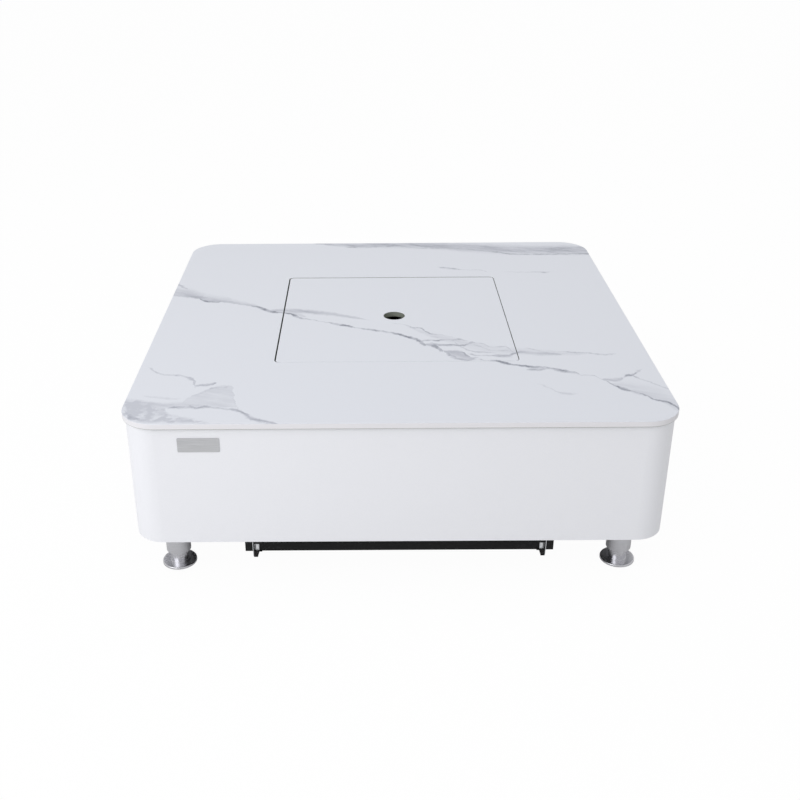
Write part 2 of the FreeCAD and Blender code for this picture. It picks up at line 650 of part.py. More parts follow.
def legs():
    """Gussets, bolts, sleeves with threaded plates, guide bushes, and the four feet with their glides."""
    corner = f"-{FRAME_INNER}"
    body = new_body("Gusset")
    sketch = sketch_on(body, "XY", FRAME_BOTTOM)
    outline(sketch, [
        (corner, corner), (f"{corner} + gusset_size", corner),
        (f"{corner} + gusset_size", f"{corner} + gusset_size - gusset_cut"),
        (f"{corner} + gusset_size - gusset_cut", f"{corner} + gusset_size"),
        (corner, f"{corner} + gusset_size"),
    ])
    circle(sketch, "leg_bolt_radius + bolt_gap", f"-{LEG_PLACE}", f"-{LEG_PLACE}")
    pad(body, sketch, "gusset_thick")
    node(group(*four_ways(body)), "leg_gussets")

    body = new_body("LegBolt")
    sketch = sketch_on(body, "XY")
    hexagon(sketch, "leg_bolt_flats")
    pad(body, sketch, "leg_bolt_head")
    sketch = sketch_on(body, "XY")
    circle(sketch, "leg_bolt_radius")
    pad(body, sketch, "gusset_thick + sleeve_cap", True)
    place(body, f"-{LEG_PLACE}", f"-{LEG_PLACE}", f"{FRAME_BOTTOM} + gusset_thick")
    node(group(*four_ways(body)), "leg_bolts")

    inner = "(sleeve_radius - sleeve_wall)"
    bolt = "(leg_bolt_radius + bolt_gap)"
    thread = "(stud_radius + running_gap)"
    plate_low = "(sleeve_lift + nut_plate_depth)"
    plate_high = f"({plate_low} + nut_plate_thick)"
    body = new_body("LegSleeve")
    revolve(body, [
        ("sleeve_radius", "sleeve_lift"), ("sleeve_radius", FRAME_BOTTOM), (bolt, FRAME_BOTTOM),
        (bolt, f"{FRAME_BOTTOM} - sleeve_cap"), (inner, f"{FRAME_BOTTOM} - sleeve_cap"),
        (inner, plate_high), (thread, plate_high), (thread, plate_low), (inner, plate_low),
        (inner, "sleeve_lift"),
    ])
    place(body, f"-{LEG_PLACE}", f"-{LEG_PLACE}")
    node(group(*four_ways(body)), "leg_sleeves")

    body = new_body("LegBush")
    bush_low = "(sleeve_lift + bush_recess)"
    revolve(body, [
        (f"{inner} - bush_fit", bush_low), (f"{inner} - bush_fit", f"{bush_low} + bush_length"),
        ("stem_radius + running_gap", f"{bush_low} + bush_length"), ("stem_radius + running_gap", bush_low),
    ])
    place(body, f"-{LEG_PLACE}", f"-{LEG_PLACE}")
    node(group(*four_ways(body)), "leg_bushes")

    disc_top = "(glide_thick + foot_disc)"
    stem_top = "(sleeve_lift + stem_inside)"
    glide_radius = "(foot_radius - glide_inset)"
    for end, y in (("front", f"-{LEG_PLACE}"), ("back", LEG_PLACE)):
        for side, x in (("left", f"-{LEG_PLACE}"), ("right", LEG_PLACE)):
            body = new_body(f"Foot{end}{side}")
            revolve(body, [
                (0, "glide_thick"), ("foot_radius", "glide_thick"),
                ("foot_radius", f"{disc_top} - foot_arris"), ("foot_radius - foot_arris", disc_top),
                ("stem_radius + foot_flare", disc_top),
                ("stem_radius", f"{disc_top} + foot_flare", "foot_flare"), ("stem_radius", stem_top),
                ("stud_radius", stem_top), ("stud_radius", f"{stem_top} + stud_length"),
                (0, f"{stem_top} + stud_length"),
            ])
            place(body, x, y)
            node(body, f"foot_{end}_{side}")
            body = new_body(f"Glide{end}{side}")
            revolve(body, [
                (0, 0), (f"{glide_radius} - glide_thick / 2", 0), (glide_radius, "glide_thick / 2"),
                (glide_radius, "glide_thick"), (0, "glide_thick"),
            ])
            place(body, x, y)
            node(body, f"glide_{end}_{side}")


def burner_pan():
    """Deep square pan that hangs by its rim on the ledge, with drain holes and holes for the gas parts."""
    body = new_body("BurnerPan")
    sketch = sketch_on(body, "XY", PAN_BOTTOM)
    rounded_square(sketch, PAN_WALL, PAN_WALL, "pan_corner")
    pad(body, sketch, "pan_depth")
    sketch = sketch_on(body, "XY", f"{PAN_TOP} - pan_sheet")
    rounded_square(sketch, PAN_RIM, PAN_RIM, "pit_corner")
    pad(body, sketch, "pan_sheet")
    sketch = sketch_on(body, "XY", PAN_FLOOR)
    rounded_square(sketch, f"{PAN_WALL} - pan_sheet", f"{PAN_WALL} - pan_sheet", "pan_corner - pan_sheet")
    pocket(body, sketch, "pan_depth", True)
    sketch = sketch_on(body, "XY", PAN_BOTTOM)
    circle(sketch, "neck_radius + neck_gap")
    circle(sketch, "electrode_radius + probe_fit", "-probe_spread", PROBE_LINE)
    circle(sketch, "thermocouple_radius + probe_fit", "probe_spread", PROBE_LINE)
    for x, y in CORNER_SIGNS:
        circle(sketch, "drain_radius", f"{x} * drain_spread", f"{y} * drain_spread")
    pocket(body, sketch, "pan_sheet", True)
    node(body, "burner_pan")


def lid_pads():
    """Soft pads on the pan's rim that the lid rests on."""
    middle = f"(({PAN_WALL} + {PAN_RIM}) / 2)"
    beside = rod("cushion_radius", "cushion_thick", middle, "cushion_spread", PAN_TOP)
    ahead = rod("cushion_radius", "cushion_thick", "cushion_spread", middle, PAN_TOP)
    node(group(*four_ways(beside), *four_ways(ahead)), "lid_pads")


def gas_burner():
    """Burner ring with its ports, joined to the hub by a cross tube, and the neck through the pan."""
    level = f"({PAN_FLOOR} + burner_lift)"
    body = new_body("GasBurner")
    revolve(body, [
        (0, NECK_END), ("neck_radius", NECK_END), ("neck_radius", PAN_FLOOR), ("hub_radius", PAN_FLOOR),
        ("hub_radius", f"{PAN_FLOOR} + hub_height"), (0, f"{PAN_FLOOR} + hub_height"),
    ])
    sketch = sketch_on(body, "YZ", "-burner_radius")
    circle(sketch, "burner_tube", 0, level)
    pad(body, sketch, "2 * burner_radius")
    sketch = sketch_on(body, "XZ")
    circle(sketch, "burner_tube", "burner_radius", level)
    ring = body.newObject("PartDesign::Revolution", "BurnerRing")
    ring.Profile = sketch
    ring.ReferenceAxis = (sketch, ["V_Axis"])
    ring.Angle = 360
    sketch = sketch_on(body, "XY", f"{level} + burner_tube")
    half_step = "(180 deg / port_count)"
    circle(sketch, "port_radius", f"burner_radius * cos({half_step})", f"burner_radius * sin({half_step})")
    around(body, pocket(body, sketch, "port_depth"), "port_count")
    node(body, "gas_burner")

    body = new_body("Locknut")
    sketch = sketch_on(body, "XY", f"{PAN_BOTTOM} - locknut_thick")
    hexagon(sketch, "locknut_flats")
    circle(sketch, "neck_radius + neck_gap")
    pad(body, sketch, "locknut_thick")
    node(body, "burner_locknut")


def gas_line():
    """Elbow under the neck, air mixer, gas jet and the bent pipe to the valve."""
    body = new_body("BurnerElbow")
    spine = sketch_on(body, "YZ")
    bend_top = f"({ELBOW_TOP} - elbow_straight)"
    outline(spine, [(0, ELBOW_TOP), (0, bend_top), ("elbow_bend", GAS_LEVEL, "-elbow_bend")], False)
    profile = sketch_on(body, "XY", ELBOW_TOP)
    circle(profile, "elbow_radius")
    sweep = body.newObject("PartDesign::AdditivePipe", "Elbow")
    sweep.Profile = profile
    sweep.Spine = spine
    sketch = sketch_on(body, "XY", ELBOW_TOP)
    circle(sketch, "neck_radius + neck_gap")
    pocket(body, sketch, "elbow_socket")
    node(body, "burner_elbow")

    body = new_body("AirMixer")
    revolve(body, [
        ("mixer_bore", 0), ("mixer_radius", 0), ("mixer_radius", "mixer_length"),
        ("mixer_bore", "mixer_length"),
    ])
    sketch = sketch_on(body, "XZ", "mixer_radius")
    circle(sketch, "air_hole", 0, "air_hole_place")
    pocket(body, sketch, "2 * mixer_radius", True)
    turn(body, (1, 0, 0), -90)
    place(body, 0, MIXER_START, GAS_LEVEL)
    node(body, "air_mixer")

    body = new_body("GasJet")
    revolve(body, [
        (0, "-jet_nose"), ("jet_nose_radius", "-jet_nose"), ("jet_nose_radius", 0), ("mixer_radius", 0),
        ("mixer_radius", "jet_flange"), ("jet_tail_radius", "jet_flange"),
        ("jet_tail_radius", "jet_flange + jet_tail"), (0, "jet_flange + jet_tail"),
    ])
    turn(body, (1, 0, 0), -90)
    place(body, 0, JET_START, GAS_LEVEL)
    node(body, "gas_jet")

    body = new_body("GasPipe")
    spine = sketch_on(body, "XY", GAS_LEVEL)
    swing = "acos(1 - knob_offset / (2 * pipe_bend))"
    bend_start = f"({PIPE_START} + pipe_lead)"
    outline(spine, [
        (0, PIPE_START), (0, bend_start),
        ("-knob_offset / 2", f"{bend_start} + pipe_bend * sin({swing})", "-pipe_bend"),
        ("-knob_offset", f"{bend_start} + 2 * pipe_bend * sin({swing})", "pipe_bend"),
        ("-knob_offset", VALVE_BACK),
    ], False)
    profile = sketch_on(body, "XZ", PIPE_START)
    circle(profile, "pipe_radius", 0, GAS_LEVEL)
    sweep = body.newObject("PartDesign::AdditivePipe", "Pipe")
    sweep.Profile = profile
    sweep.Spine = spine
    node(body, "gas_pipe")


def flame_probes():
    """Folded bracket on the pan's floor with the spark electrode and the thermocouple beside the ring."""
    shelf_top = f"({PAN_FLOOR} + bracket_rise)"
    shelf_low = f"({shelf_top} - bracket_sheet)"
    foot_top = f"({PAN_FLOOR} + bracket_sheet)"
    ahead = f"({PROBE_LINE} - bracket_shelf / 2)"
    behind = f"({PROBE_LINE} + bracket_shelf / 2)"
    body = new_body("PilotBracket")
    sketch = sketch_on(body, "YZ", "-bracket_wide / 2")
    outline(sketch, [
        (f"{behind} + bracket_foot", PAN_FLOOR), (f"{behind} + bracket_foot", foot_top), (behind, foot_top),
        (behind, shelf_top), (ahead, shelf_top), (ahead, shelf_low),
        (f"{behind} - bracket_sheet", shelf_low), (f"{behind} - bracket_sheet", PAN_FLOOR),
    ])
    pad(body, sketch, "bracket_wide")
    sketch = sketch_on(body, "XY", shelf_top)
    circle(sketch, "electrode_radius + probe_fit", "-probe_spread", PROBE_LINE)
    circle(sketch, "thermocouple_radius + probe_fit", "probe_spread", PROBE_LINE)
    pocket(body, sketch, "bracket_sheet")
    node(body, "pilot_bracket")

    body = new_body("SparkElectrode")
    revolve(body, [
        (0, "-electrode_below - electrode_tip"), ("electrode_wire", "-electrode_below - electrode_tip"),
        ("electrode_wire", "-electrode_below"), ("electrode_radius", "-electrode_below"),
        ("electrode_radius", 0), ("electrode_collar", 0), ("electrode_collar", "collar_high"),
        ("electrode_radius", "collar_high"),
        ("electrode_radius", "electrode_above"), ("electrode_wire", "electrode_above"),
        ("electrode_wire", "electrode_above + electrode_tip"), (0, "electrode_above + electrode_tip"),
    ])
    place(body, "-probe_spread", PROBE_LINE, shelf_top)
    node(body, "spark_electrode")

    body = new_body("Thermocouple")
    tip = "(thermocouple_radius / 2)"
    revolve(body, [
        (0, "-thermocouple_below"), ("thermocouple_radius", "-thermocouple_below"),
        ("thermocouple_radius", 0), ("thermocouple_collar", 0), ("thermocouple_collar", "collar_high"),
        ("thermocouple_radius", "collar_high"),
        ("thermocouple_radius", f"thermocouple_above - {tip}"), (tip, "thermocouple_above"),
        (0, "thermocouple_above"),
    ])
    place(body, "probe_spread", PROBE_LINE, shelf_top)
    node(body, "thermocouple")


def rock_shape(x, y, floor, chance):
    """One rough lava rock with a flat underside, a wider waist and a small top."""
    radius, height = number("rock_radius"), number("rock_high")
    step = 2 * math.pi / ROCK_SIDES
    swing = chance.uniform(0, step / 2)
    tall = height * chance.uniform(*ROCK_HEIGHTS)
    rings = []
    for share, reach, twist in ROCK_RINGS:
        ring = []
        for index in range(ROCK_SIDES):
            angle = swing + (index + twist) * step
            spread = radius * reach * chance.uniform(*ROCK_SPREADS)
            ring.append(FreeCAD.Vector(x + spread * math.cos(angle), y + spread * math.sin(angle),
                                       floor + tall * share))
        rings.append(ring)
    faces = [Part.Face(Part.makePolygon(ring + ring[:1])) for ring in (rings[0], rings[-1])]
    for low, high in zip(rings, rings[1:]):
        for index in range(ROCK_SIDES):
            after = (index + 1) % ROCK_SIDES
            for corners in ((low[index], low[after], high[index]), (low[after], high[after], high[index])):
                faces.append(Part.Face(Part.makePolygon([*corners, corners[0]])))
    return Part.Solid(Part.Shell(faces))


def lava_rocks():
    """Loose rocks on the pan's floor, wherever the burner and its probes leave room for one."""
    radius, pitch, room = number("rock_radius"), number("rock_pitch"), number("rock_room")
    reach = number(f"{PAN_WALL} - pan_sheet") - radius - room
    ring, tube = number("burner_radius"), number("burner_tube")
    probe_y = number(PROBE_LINE)
    bracket_x = number("bracket_wide / 2")
    bracket_y = number("bracket_shelf / 2 + bracket_foot")
    hub = number("hub_radius")
    chance = random.Random(ROCK_SEED)
    count = int(2 * reach / pitch) + 1
    step = 2 * reach / (count - 1)
    rocks = []
    for column in range(count):
        for row in range(count):
            x, y = column * step - reach, row * step - reach
            off_ring = abs(math.hypot(x, y) - ring) - tube
            off_cross = abs(y) - tube if abs(x) < ring else off_ring
            off_hub = math.hypot(x, y) - hub
            off_bracket = max(abs(x) - bracket_x, abs(y - probe_y) - bracket_y)
            if min(off_ring, off_cross, off_hub, off_bracket) > radius + room:
                rocks.append(rock_shape(x, y, number(PAN_FLOOR), chance))
    piece = doc.addObject("Part::Feature", "LavaRocks")
    piece.Shape = Part.makeCompound(rocks)
    node(piece, "lava_rocks")


def control_box():
    """Folded recess in the skirt's back, held by four screws, with holes for the valve and the igniter."""
    body = new_body("ControlBox")
    sketch = sketch_on(body, "XZ", SKIRT_INNER)
    rounded_square(sketch, "window_wide / 2 + recess_sheet", "window_high / 2 + recess_sheet",
                   "window_corner + recess_sheet", 0, GAS_LEVEL)
    pad(body, sketch, "recess_depth")
    sketch = sketch_on(body, "XZ", SKIRT_INNER)
    rounded_square(sketch, "window_wide / 2 + recess_rim", "window_high / 2 + recess_rim",
                   "window_corner + recess_sheet", 0, GAS_LEVEL)
    for x, z in RIM_SCREWS:
        circle(sketch, "rim_screw_radius + bolt_gap", x, z)
    pad(body, sketch, "recess_sheet")
    sketch = sketch_on(body, "XZ", RECESS_FACE)
    rounded_square(sketch, "window_wide / 2", "window_high / 2", "window_corner", 0, GAS_LEVEL)
    pocket(body, sketch, "recess_depth")
    sketch = sketch_on(body, "XZ", RECESS_FACE)
    circle(sketch, "valve_neck_radius + bolt_gap", "-knob_offset", GAS_LEVEL)
    circle(sketch, "igniter_radius + igniter_fit", "knob_offset", GAS_LEVEL)
    pocket(body, sketch, "recess_sheet", True)
    node(body, "control_box")

    screws = []
    for x, z in RIM_SCREWS:
        body = new_body("RimScrew")
        revolve(body, [
            (0, "-rim_screw_length"), ("rim_screw_radius", "-rim_screw_length"), ("rim_screw_radius", 0),
            ("rim_screw_head", 0), ("rim_screw_head", "rim_screw_dome / 2"),
            ("rim_screw_head / 2", "rim_screw_dome"), (0, "rim_screw_dome"),
        ])
        turn(body, (1, 0, 0), -90)
        place(body, x, SKIRT_HALF, z)
        screws.append(body)
    node(group(*screws), "control_screws")


def gas_valve():
    """Valve behind the recess with its inlet fitting below, and the stem, bezel and knob in front."""
    x, y, z = "-knob_offset", RECESS_BACK, GAS_LEVEL
    barrel = rod("valve_radius", "valve_length", x, VALVE_BACK, z, "Y")
    flange = box(f"{x} - valve_flange / 2", f"{y} - valve_flange_thick", f"{z} - valve_flange / 2",
                 "valve_flange", "valve_flange_thick", "valve_flange")
    neck = rod("valve_neck_radius", "recess_sheet + bezel_thick", x, y, z, "Y")
    boss = rod("inlet_boss_radius", "inlet_boss_drop", x, f"{y} - inlet_boss_back", z, "down")
    neck_face = f"({y} + recess_sheet + bezel_thick)"
    bore = rod("stem_rod_radius + stem_fit", "stem_rod_inside + stem_fit", x,
               f"{neck_face} - stem_rod_inside - stem_fit", z, "Y")
    node(cut(fuse(barrel, flange, neck, boss), bore), "gas_valve")

    body = new_body("GasInlet")
    sketch = sketch_on(body, "XY")
    hexagon(sketch, "inlet_flats")
    pad(body, sketch, "inlet_hex", True)
    revolve(body, [
        (0, "-inlet_hex"), ("inlet_thread_radius", "-inlet_hex"),
        ("inlet_thread_radius", "-inlet_hex - inlet_thread"),
        ("inlet_tip_radius", "-inlet_hex - inlet_thread - inlet_cone"),
        (0, "-inlet_hex - inlet_thread - inlet_cone"),
    ])
    sketch = sketch_on(body, "XY", "-inlet_hex - inlet_thread - inlet_cone")
    circle(sketch, "inlet_bore")
    pocket(body, sketch, "inlet_hex + inlet_thread + inlet_cone", True)
    place(body, x, f"{y} - inlet_boss_back", f"{z} - inlet_boss_drop")
    node(body, "gas_inlet")

    body = new_body("KnobBezel")
    revolve(body, [
        ("valve_neck_radius + bolt_gap", 0), ("bezel_radius", 0), ("bezel_radius", "bezel_thick / 2"),
        ("bezel_radius - bezel_thick / 2", "bezel_thick"), ("valve_neck_radius + bolt_gap", "bezel_thick"),
    ])
    turn(body, (1, 0, 0), -90)
    place(body, x, RECESS_FACE, z)
    node(body, "knob_bezel")

    stem_start = f"{neck_face} - stem_rod_inside"
    node(rod("stem_rod_radius", "stem_rod_inside + stem_rod_out", x, stem_start, z, "Y"), "valve_stem")

    body = new_body("ControlKnob")
    revolve(body, [
        (0, 0), ("knob_radius", 0), ("knob_radius", "knob_skirt - knob_edge"),
        ("knob_radius - knob_edge", "knob_skirt"), ("knob_boss", "knob_skirt"),
        ("knob_boss", "knob_high - knob_edge"), ("knob_boss - knob_edge", "knob_high"), (0, "knob_high"),
    ])
    sketch = sketch_on(body, "XY", "knob_skirt")
    rounded_square(sketch, "knob_grip / 2", "knob_radius - knob_grip_inset", "knob_grip_corner")
    pad(body, sketch, "knob_high - knob_skirt")
    sketch = sketch_on(body, "XY")
    circle(sketch, "stem_rod_radius + stem_fit")
    pocket(body, sketch, "stem_rod_out - knob_rest_gap + knob_push + stem_fit", True)
    turn(body, (1, 0, 0), -90)
    place(body, x, f"{neck_face} + knob_rest_gap", z)
    node(body, "control_knob")


def igniter():
    """Push-button igniter: barrel with its front rim, nut behind the wall, and the button."""
    x, z = "knob_offset", GAS_LEVEL
    bore = "(button_radius + button_fit)"
    depth = "(button_inside + button_travel + button_fit)"
    body = new_body("IgniterBody")
    revolve(body, [
        (0, "-igniter_length - recess_sheet"), ("igniter_radius", "-igniter_length - recess_sheet"),
        ("igniter_radius", 0), ("igniter_rim_radius", 0), ("igniter_rim_radius", "igniter_rim / 2"),
        ("igniter_rim_radius - igniter_rim / 2", "igniter_rim"), (bore, "igniter_rim"),
        (bore, f"igniter_rim - {depth}"), (0, f"igniter_rim - {depth}"),
    ])
    turn(body, (1, 0, 0), -90)
    place(body, x, RECESS_FACE, z)
    node(body, "igniter_body")

    body = new_body("IgniterNut")
    sketch = sketch_on(body, "XY")
    hexagon(sketch, "igniter_nut_flats")
    circle(sketch, "igniter_radius + igniter_fit")
    pad(body, sketch, "igniter_nut_thick", True)
    turn(body, (1, 0, 0), -90)
    place(body, x, RECESS_BACK, z)
    node(body, "igniter_nut")

    body = new_body("IgniterButton")
    revolve(body, [
        (0, "-button_inside"), ("button_radius", "-button_inside"),
        ("button_radius", "button_stand - button_dome"), ("button_radius - button_dome", "button_stand"),
        (0, "button_stand"),
    ])
    turn(body, (1, 0, 0), -90)
    place(body, x, f"{RECESS_FACE} + igniter_rim", z)
    node(body, "igniter_button")


def channel(name, back, depth, half, open_left):
    """Slide member with a C section on the right-hand slide: back is the x of its web's outer face."""
    sign = "-" if open_left else "+"
    web = f"({back} {sign} slide_sheet)"
    lip = f"({back} {sign} {depth})"
    low, high = f"({SLIDE_MIDDLE} - {half})", f"({SLIDE_MIDDLE} + {half})"
    body = new_body(name)
    sketch = sketch_on(body, "XZ", f"-{TRAY_FRONT}")
    outline(sketch, [
        (back, high), (lip, high), (lip, f"{high} - slide_sheet"), (web, f"{high} - slide_sheet"),
        (web, f"{low} + slide_sheet"), (lip, f"{low} + slide_sheet"), (lip, low), (back, low),
    ])
    pad(body, sketch, "slide_length", True)
    return body


def both_sides(piece, label):
    """Names the right-hand piece and its image on the left."""
    node(piece, f"{label}_right")
    node(mirror(piece, "X"), f"{label}_left")


def screw_holes(body, level):
    """Screw holes through an upright wall of the right-hand slide or the tray, seen along X."""
    sketch = sketch_on(body, "YZ", level)
    for y in SLIDE_SCREWS:
        circle(sketch, "slide_screw_radius + bolt_gap", y, SLIDE_MIDDLE)
    return sketch


def tray_slides():
    """Plugged hanger rails under the frame, and the nested members of each slide with their ball cages."""
    hanger = square_tube("Y", HANGER_FACE, f"-{TRAY_FRONT}", "leg_height - hanger_high", HANGER_LENGTH,
                         "hanger_wide", "hanger_high", "hanger_wall")
    for y in SLIDE_SCREWS:
        hanger = cut(hanger, rod("slide_screw_radius + bolt_gap", "2 * hanger_wall", HANGER_FACE, y,
                                 SLIDE_MIDDLE, "X"))
    node(group(hanger, mirror(hanger, "X")), "tray_hangers")

    plug = new_body("HangerPlug")
    for inset, length, backwards in (("plug_fit", "plug_face", False),
                                     ("(hanger_wall + plug_fit)", "plug_depth", True)):
        sketch = sketch_on(plug, "XZ", f"-{TRAY_FRONT}")
        rectangle(sketch, f"{HANGER_FACE} + {inset}", f"leg_height - hanger_high + {inset}",
                  f"{HANGER_FACE} + hanger_wide - {inset}", f"leg_height - {inset}")
        pad(plug, sketch, length, backwards)
    node(group(plug, mirror(plug, "X")), "hanger_plugs")

    outer_half = "(slide_high / 2)"
    middle_half = f"({outer_half} - slide_sheet - race_gap)"
    inner_half = f"({middle_half} - slide_sheet - race_gap)"
    outer = channel("SlideOuter", HANGER_FACE, "slide_lip", outer_half, True)
    pocket(outer, screw_holes(outer, HANGER_FACE), "slide_sheet")
    sketch = sketch_on(outer, "XZ", f"-{TRAY_FRONT}")
    rectangle(sketch, f"{HANGER_FACE} - slide_sheet", "leg_height - hanger_high", HANGER_FACE,
              f"{SLIDE_TOP} - slide_sheet")
    pad(outer, sketch, "cap_thick")
    both_sides(outer, "slide_outer")
    middle_x = f"({HANGER_FACE} - middle_back)"
    both_sides(channel("SlideMiddle", middle_x, "middle_lip", middle_half, True), "slide_middle")
    inner = channel("SlideInner", "tray_half", "inner_lip", inner_half, False)
    pocket(inner, screw_holes(inner, "tray_half"), "slide_sheet", True)
    sketch = sketch_on(inner, "XZ", f"-{TRAY_FRONT}")
    rectangle(sketch, "tray_half", f"{SLIDE_MIDDLE} - cap_window / 2", "tray_half + inner_lip",
              f"{SLIDE_MIDDLE} + cap_window / 2")
    pad(inner, sketch, "slide_sheet", True)
    both_sides(inner, "slide_inner")

    cages = []
    cage_x = f"({HANGER_FACE} - slide_lip)"
    cage_high = "(race_gap - cage_gap)"
    back_y = f"slide_length - cage_share - {TRAY_FRONT}"
    front_y = f"-{TRAY_FRONT} + slide_sheet + cage_gap"
    for y, z in (
        (back_y, f"{SLIDE_MIDDLE} + {middle_half}"),
        (back_y, f"{SLIDE_MIDDLE} - {middle_half} - {cage_high}"),
        (front_y, f"{SLIDE_MIDDLE} + {inner_half} + cage_gap"),
        (front_y, f"{SLIDE_MIDDLE} - {middle_half} + slide_sheet"),
    ):
        cage = box(cage_x, y, z, "cage_wide", "cage_share", cage_high)
        cages += [cage, mirror(cage, "X")]
    node(group(*cages), "ball_cages")

    for label, x, degrees, length in (
        ("slide_screws", f"{HANGER_FACE} - slide_sheet", 90, "slide_sheet + hanger_wall"),
        ("tray_screws", "tray_half + slide_sheet", -90, "slide_sheet + tray_sheet"),
    ):
        screws = []
        for y in SLIDE_SCREWS:
            body = new_body("SlideScrew")
            revolve(body, [
                (0, "-slide_screw_dome"), ("slide_screw_head / 2", "-slide_screw_dome"),
                ("slide_screw_head", "-slide_screw_dome / 2"), ("slide_screw_head", 0),
                ("slide_screw_radius", 0), ("slide_screw_radius", length), (0, length),
            ])
            turn(body, (0, 1, 0), degrees)
            place(body, x, y, SLIDE_MIDDLE)
            screws += [body, mirror(body, "X")]
        node(group(*screws), label)


def lid_tray():
    """Shallow tray between the slides: floor, two sides, two end panels with lips, and end caps."""
    low = f"({SLIDE_TOP} - tray_high)"
    front = f"-{TRAY_FRONT}"
    back = f"(tray_length - {TRAY_FRONT})"
    inside = "(tray_half - tray_sheet)"
    node(box(f"-{inside}", f"{front} + tray_sheet", low, f"2 * {inside}", "tray_length - 2 * tray_sheet",
             "tray_sheet"), "tray_floor")

    body = new_body("TraySide")
    sketch = sketch_on(body, "YZ", inside)
    rectangle(sketch, f"{front} + tray_sheet", low, f"{back} - tray_sheet", SLIDE_TOP)
    pad(body, sketch, "tray_sheet")
    pocket(body, screw_holes(body, "tray_half"), "tray_sheet")
    node(group(body, mirror(body, "X")), "tray_sides")

    panels = []
    for face, lip in ((front, f"{front} + tray_sheet"), (f"{back} - tray_sheet", f"{back} - tray_lip")):
        body = new_body("TrayEnd")
        sketch = sketch_on(body, "XZ", face)
        rectangle(sketch, "-tray_half", low, "tray_half", SLIDE_TOP)
        pad(body, sketch, "tray_sheet", True)
        sketch = sketch_on(body, "XY", f"{SLIDE_TOP} - tray_sheet")
        rectangle(sketch, f"-{inside}", lip, inside, f"{lip} + tray_lip - tray_sheet")
        pad(body, sketch, "tray_sheet")
        panels.append(body)
    node(group(*panels), "tray_ends")

    body = new_body("EndCap")
    left, right = "(tray_half - cap_seat)", f"({HANGER_FACE} - cap_gap)"
    bottom, top = f"({SLIDE_TOP} - slide_high)", SLIDE_TOP
    window_low, window_high = f"({SLIDE_MIDDLE} - cap_window / 2)", f"({SLIDE_MIDDLE} + cap_window / 2)"
    sketch = sketch_on(body, "XZ", front)
    outline(sketch, [
        (left, top), (left, window_high), (f"{right} - cap_strip", window_high),
        (f"{right} - cap_strip", window_low), (left, window_low), (left, low),
        ("tray_half", low), ("tray_half + cap_taper", bottom), (right, bottom), (right, top),
    ])
    pad(body, sketch, "cap_thick")
    node(group(body, mirror(body, "X")), "slide_end_caps")


for make in (
    top_slab, burner_lid, body_skirt, front_plate, welded_frame, lid_ledge, legs, burner_pan, lid_pads,
    gas_burner, gas_line, flame_probes, lava_rocks, control_box, gas_valve, igniter, tray_slides, lid_tray,
):
    make()

doc.recompute()
faults = [thing.Label for thing in doc.Objects if {"Invalid", "Error"} & set(thing.State)]
faults += [piece.Label for piece in nodes if piece.Shape.isNull() or not piece.Shape.isValid()]
if faults:
    raise RuntimeError(f"not built: {faults}")
os.makedirs("parts", exist_ok=True)
for piece in nodes:
    piece.Shape.exportStep(f"parts/{piece.Label}.step")
    print(f"{piece.Label}: {len(piece.Shape.Solids)} solids, {piece.Shape.Volume / 1000:.1f} cm3")
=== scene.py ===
"""Dresses the low square fire pit table: stone top, skirt, legs, burner, controls and lid tray."""
import json
import math

import bmesh
import bpy
from bpy.props import FloatProperty, FloatVectorProperty, IntProperty, PointerProperty
from mathutils import Euler, Matrix, Vector


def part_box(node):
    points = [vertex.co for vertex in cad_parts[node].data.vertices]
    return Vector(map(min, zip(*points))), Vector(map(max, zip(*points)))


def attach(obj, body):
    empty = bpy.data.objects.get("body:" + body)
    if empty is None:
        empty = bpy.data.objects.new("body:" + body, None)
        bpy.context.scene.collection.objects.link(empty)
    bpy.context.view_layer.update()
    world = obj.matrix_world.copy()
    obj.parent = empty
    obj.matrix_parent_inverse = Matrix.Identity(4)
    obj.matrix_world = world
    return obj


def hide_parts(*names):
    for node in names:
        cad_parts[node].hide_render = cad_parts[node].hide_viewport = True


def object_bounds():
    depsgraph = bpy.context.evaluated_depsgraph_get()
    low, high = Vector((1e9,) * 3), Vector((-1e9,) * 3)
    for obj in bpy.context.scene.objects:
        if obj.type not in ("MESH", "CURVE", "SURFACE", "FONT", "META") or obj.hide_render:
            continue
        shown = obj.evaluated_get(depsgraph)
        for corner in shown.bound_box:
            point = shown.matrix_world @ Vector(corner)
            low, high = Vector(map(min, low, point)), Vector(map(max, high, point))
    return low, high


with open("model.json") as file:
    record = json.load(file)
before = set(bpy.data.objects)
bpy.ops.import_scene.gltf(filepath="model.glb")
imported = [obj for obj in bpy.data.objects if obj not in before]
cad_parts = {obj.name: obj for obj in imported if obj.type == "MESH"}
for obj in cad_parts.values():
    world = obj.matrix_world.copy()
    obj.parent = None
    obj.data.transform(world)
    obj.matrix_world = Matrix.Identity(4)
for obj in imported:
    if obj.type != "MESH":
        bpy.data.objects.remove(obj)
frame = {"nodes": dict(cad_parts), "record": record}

bl_info = {
    "name": "Fire Pit Table",
    "version": (1, 0, 0),
    "blender": (4, 5, 0),
    "location": "View3D > Sidebar > Fire Pit",
    "description": "Models and finishes a low square gas fire pit table",
    "category": "Object",
}

MM = 0.001
SAME_PLACE = 0.01 * MM  # points that are nearer than this are one
SMOOTH_ANGLE = math.radians(35)  # edges that turn more than this stay sharp
CAD_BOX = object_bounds()
NODES = frame["nodes"]
SLAB_LOW, SLAB_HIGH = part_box("top_slab")
LID_LOW, LID_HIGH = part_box("burner_lid")

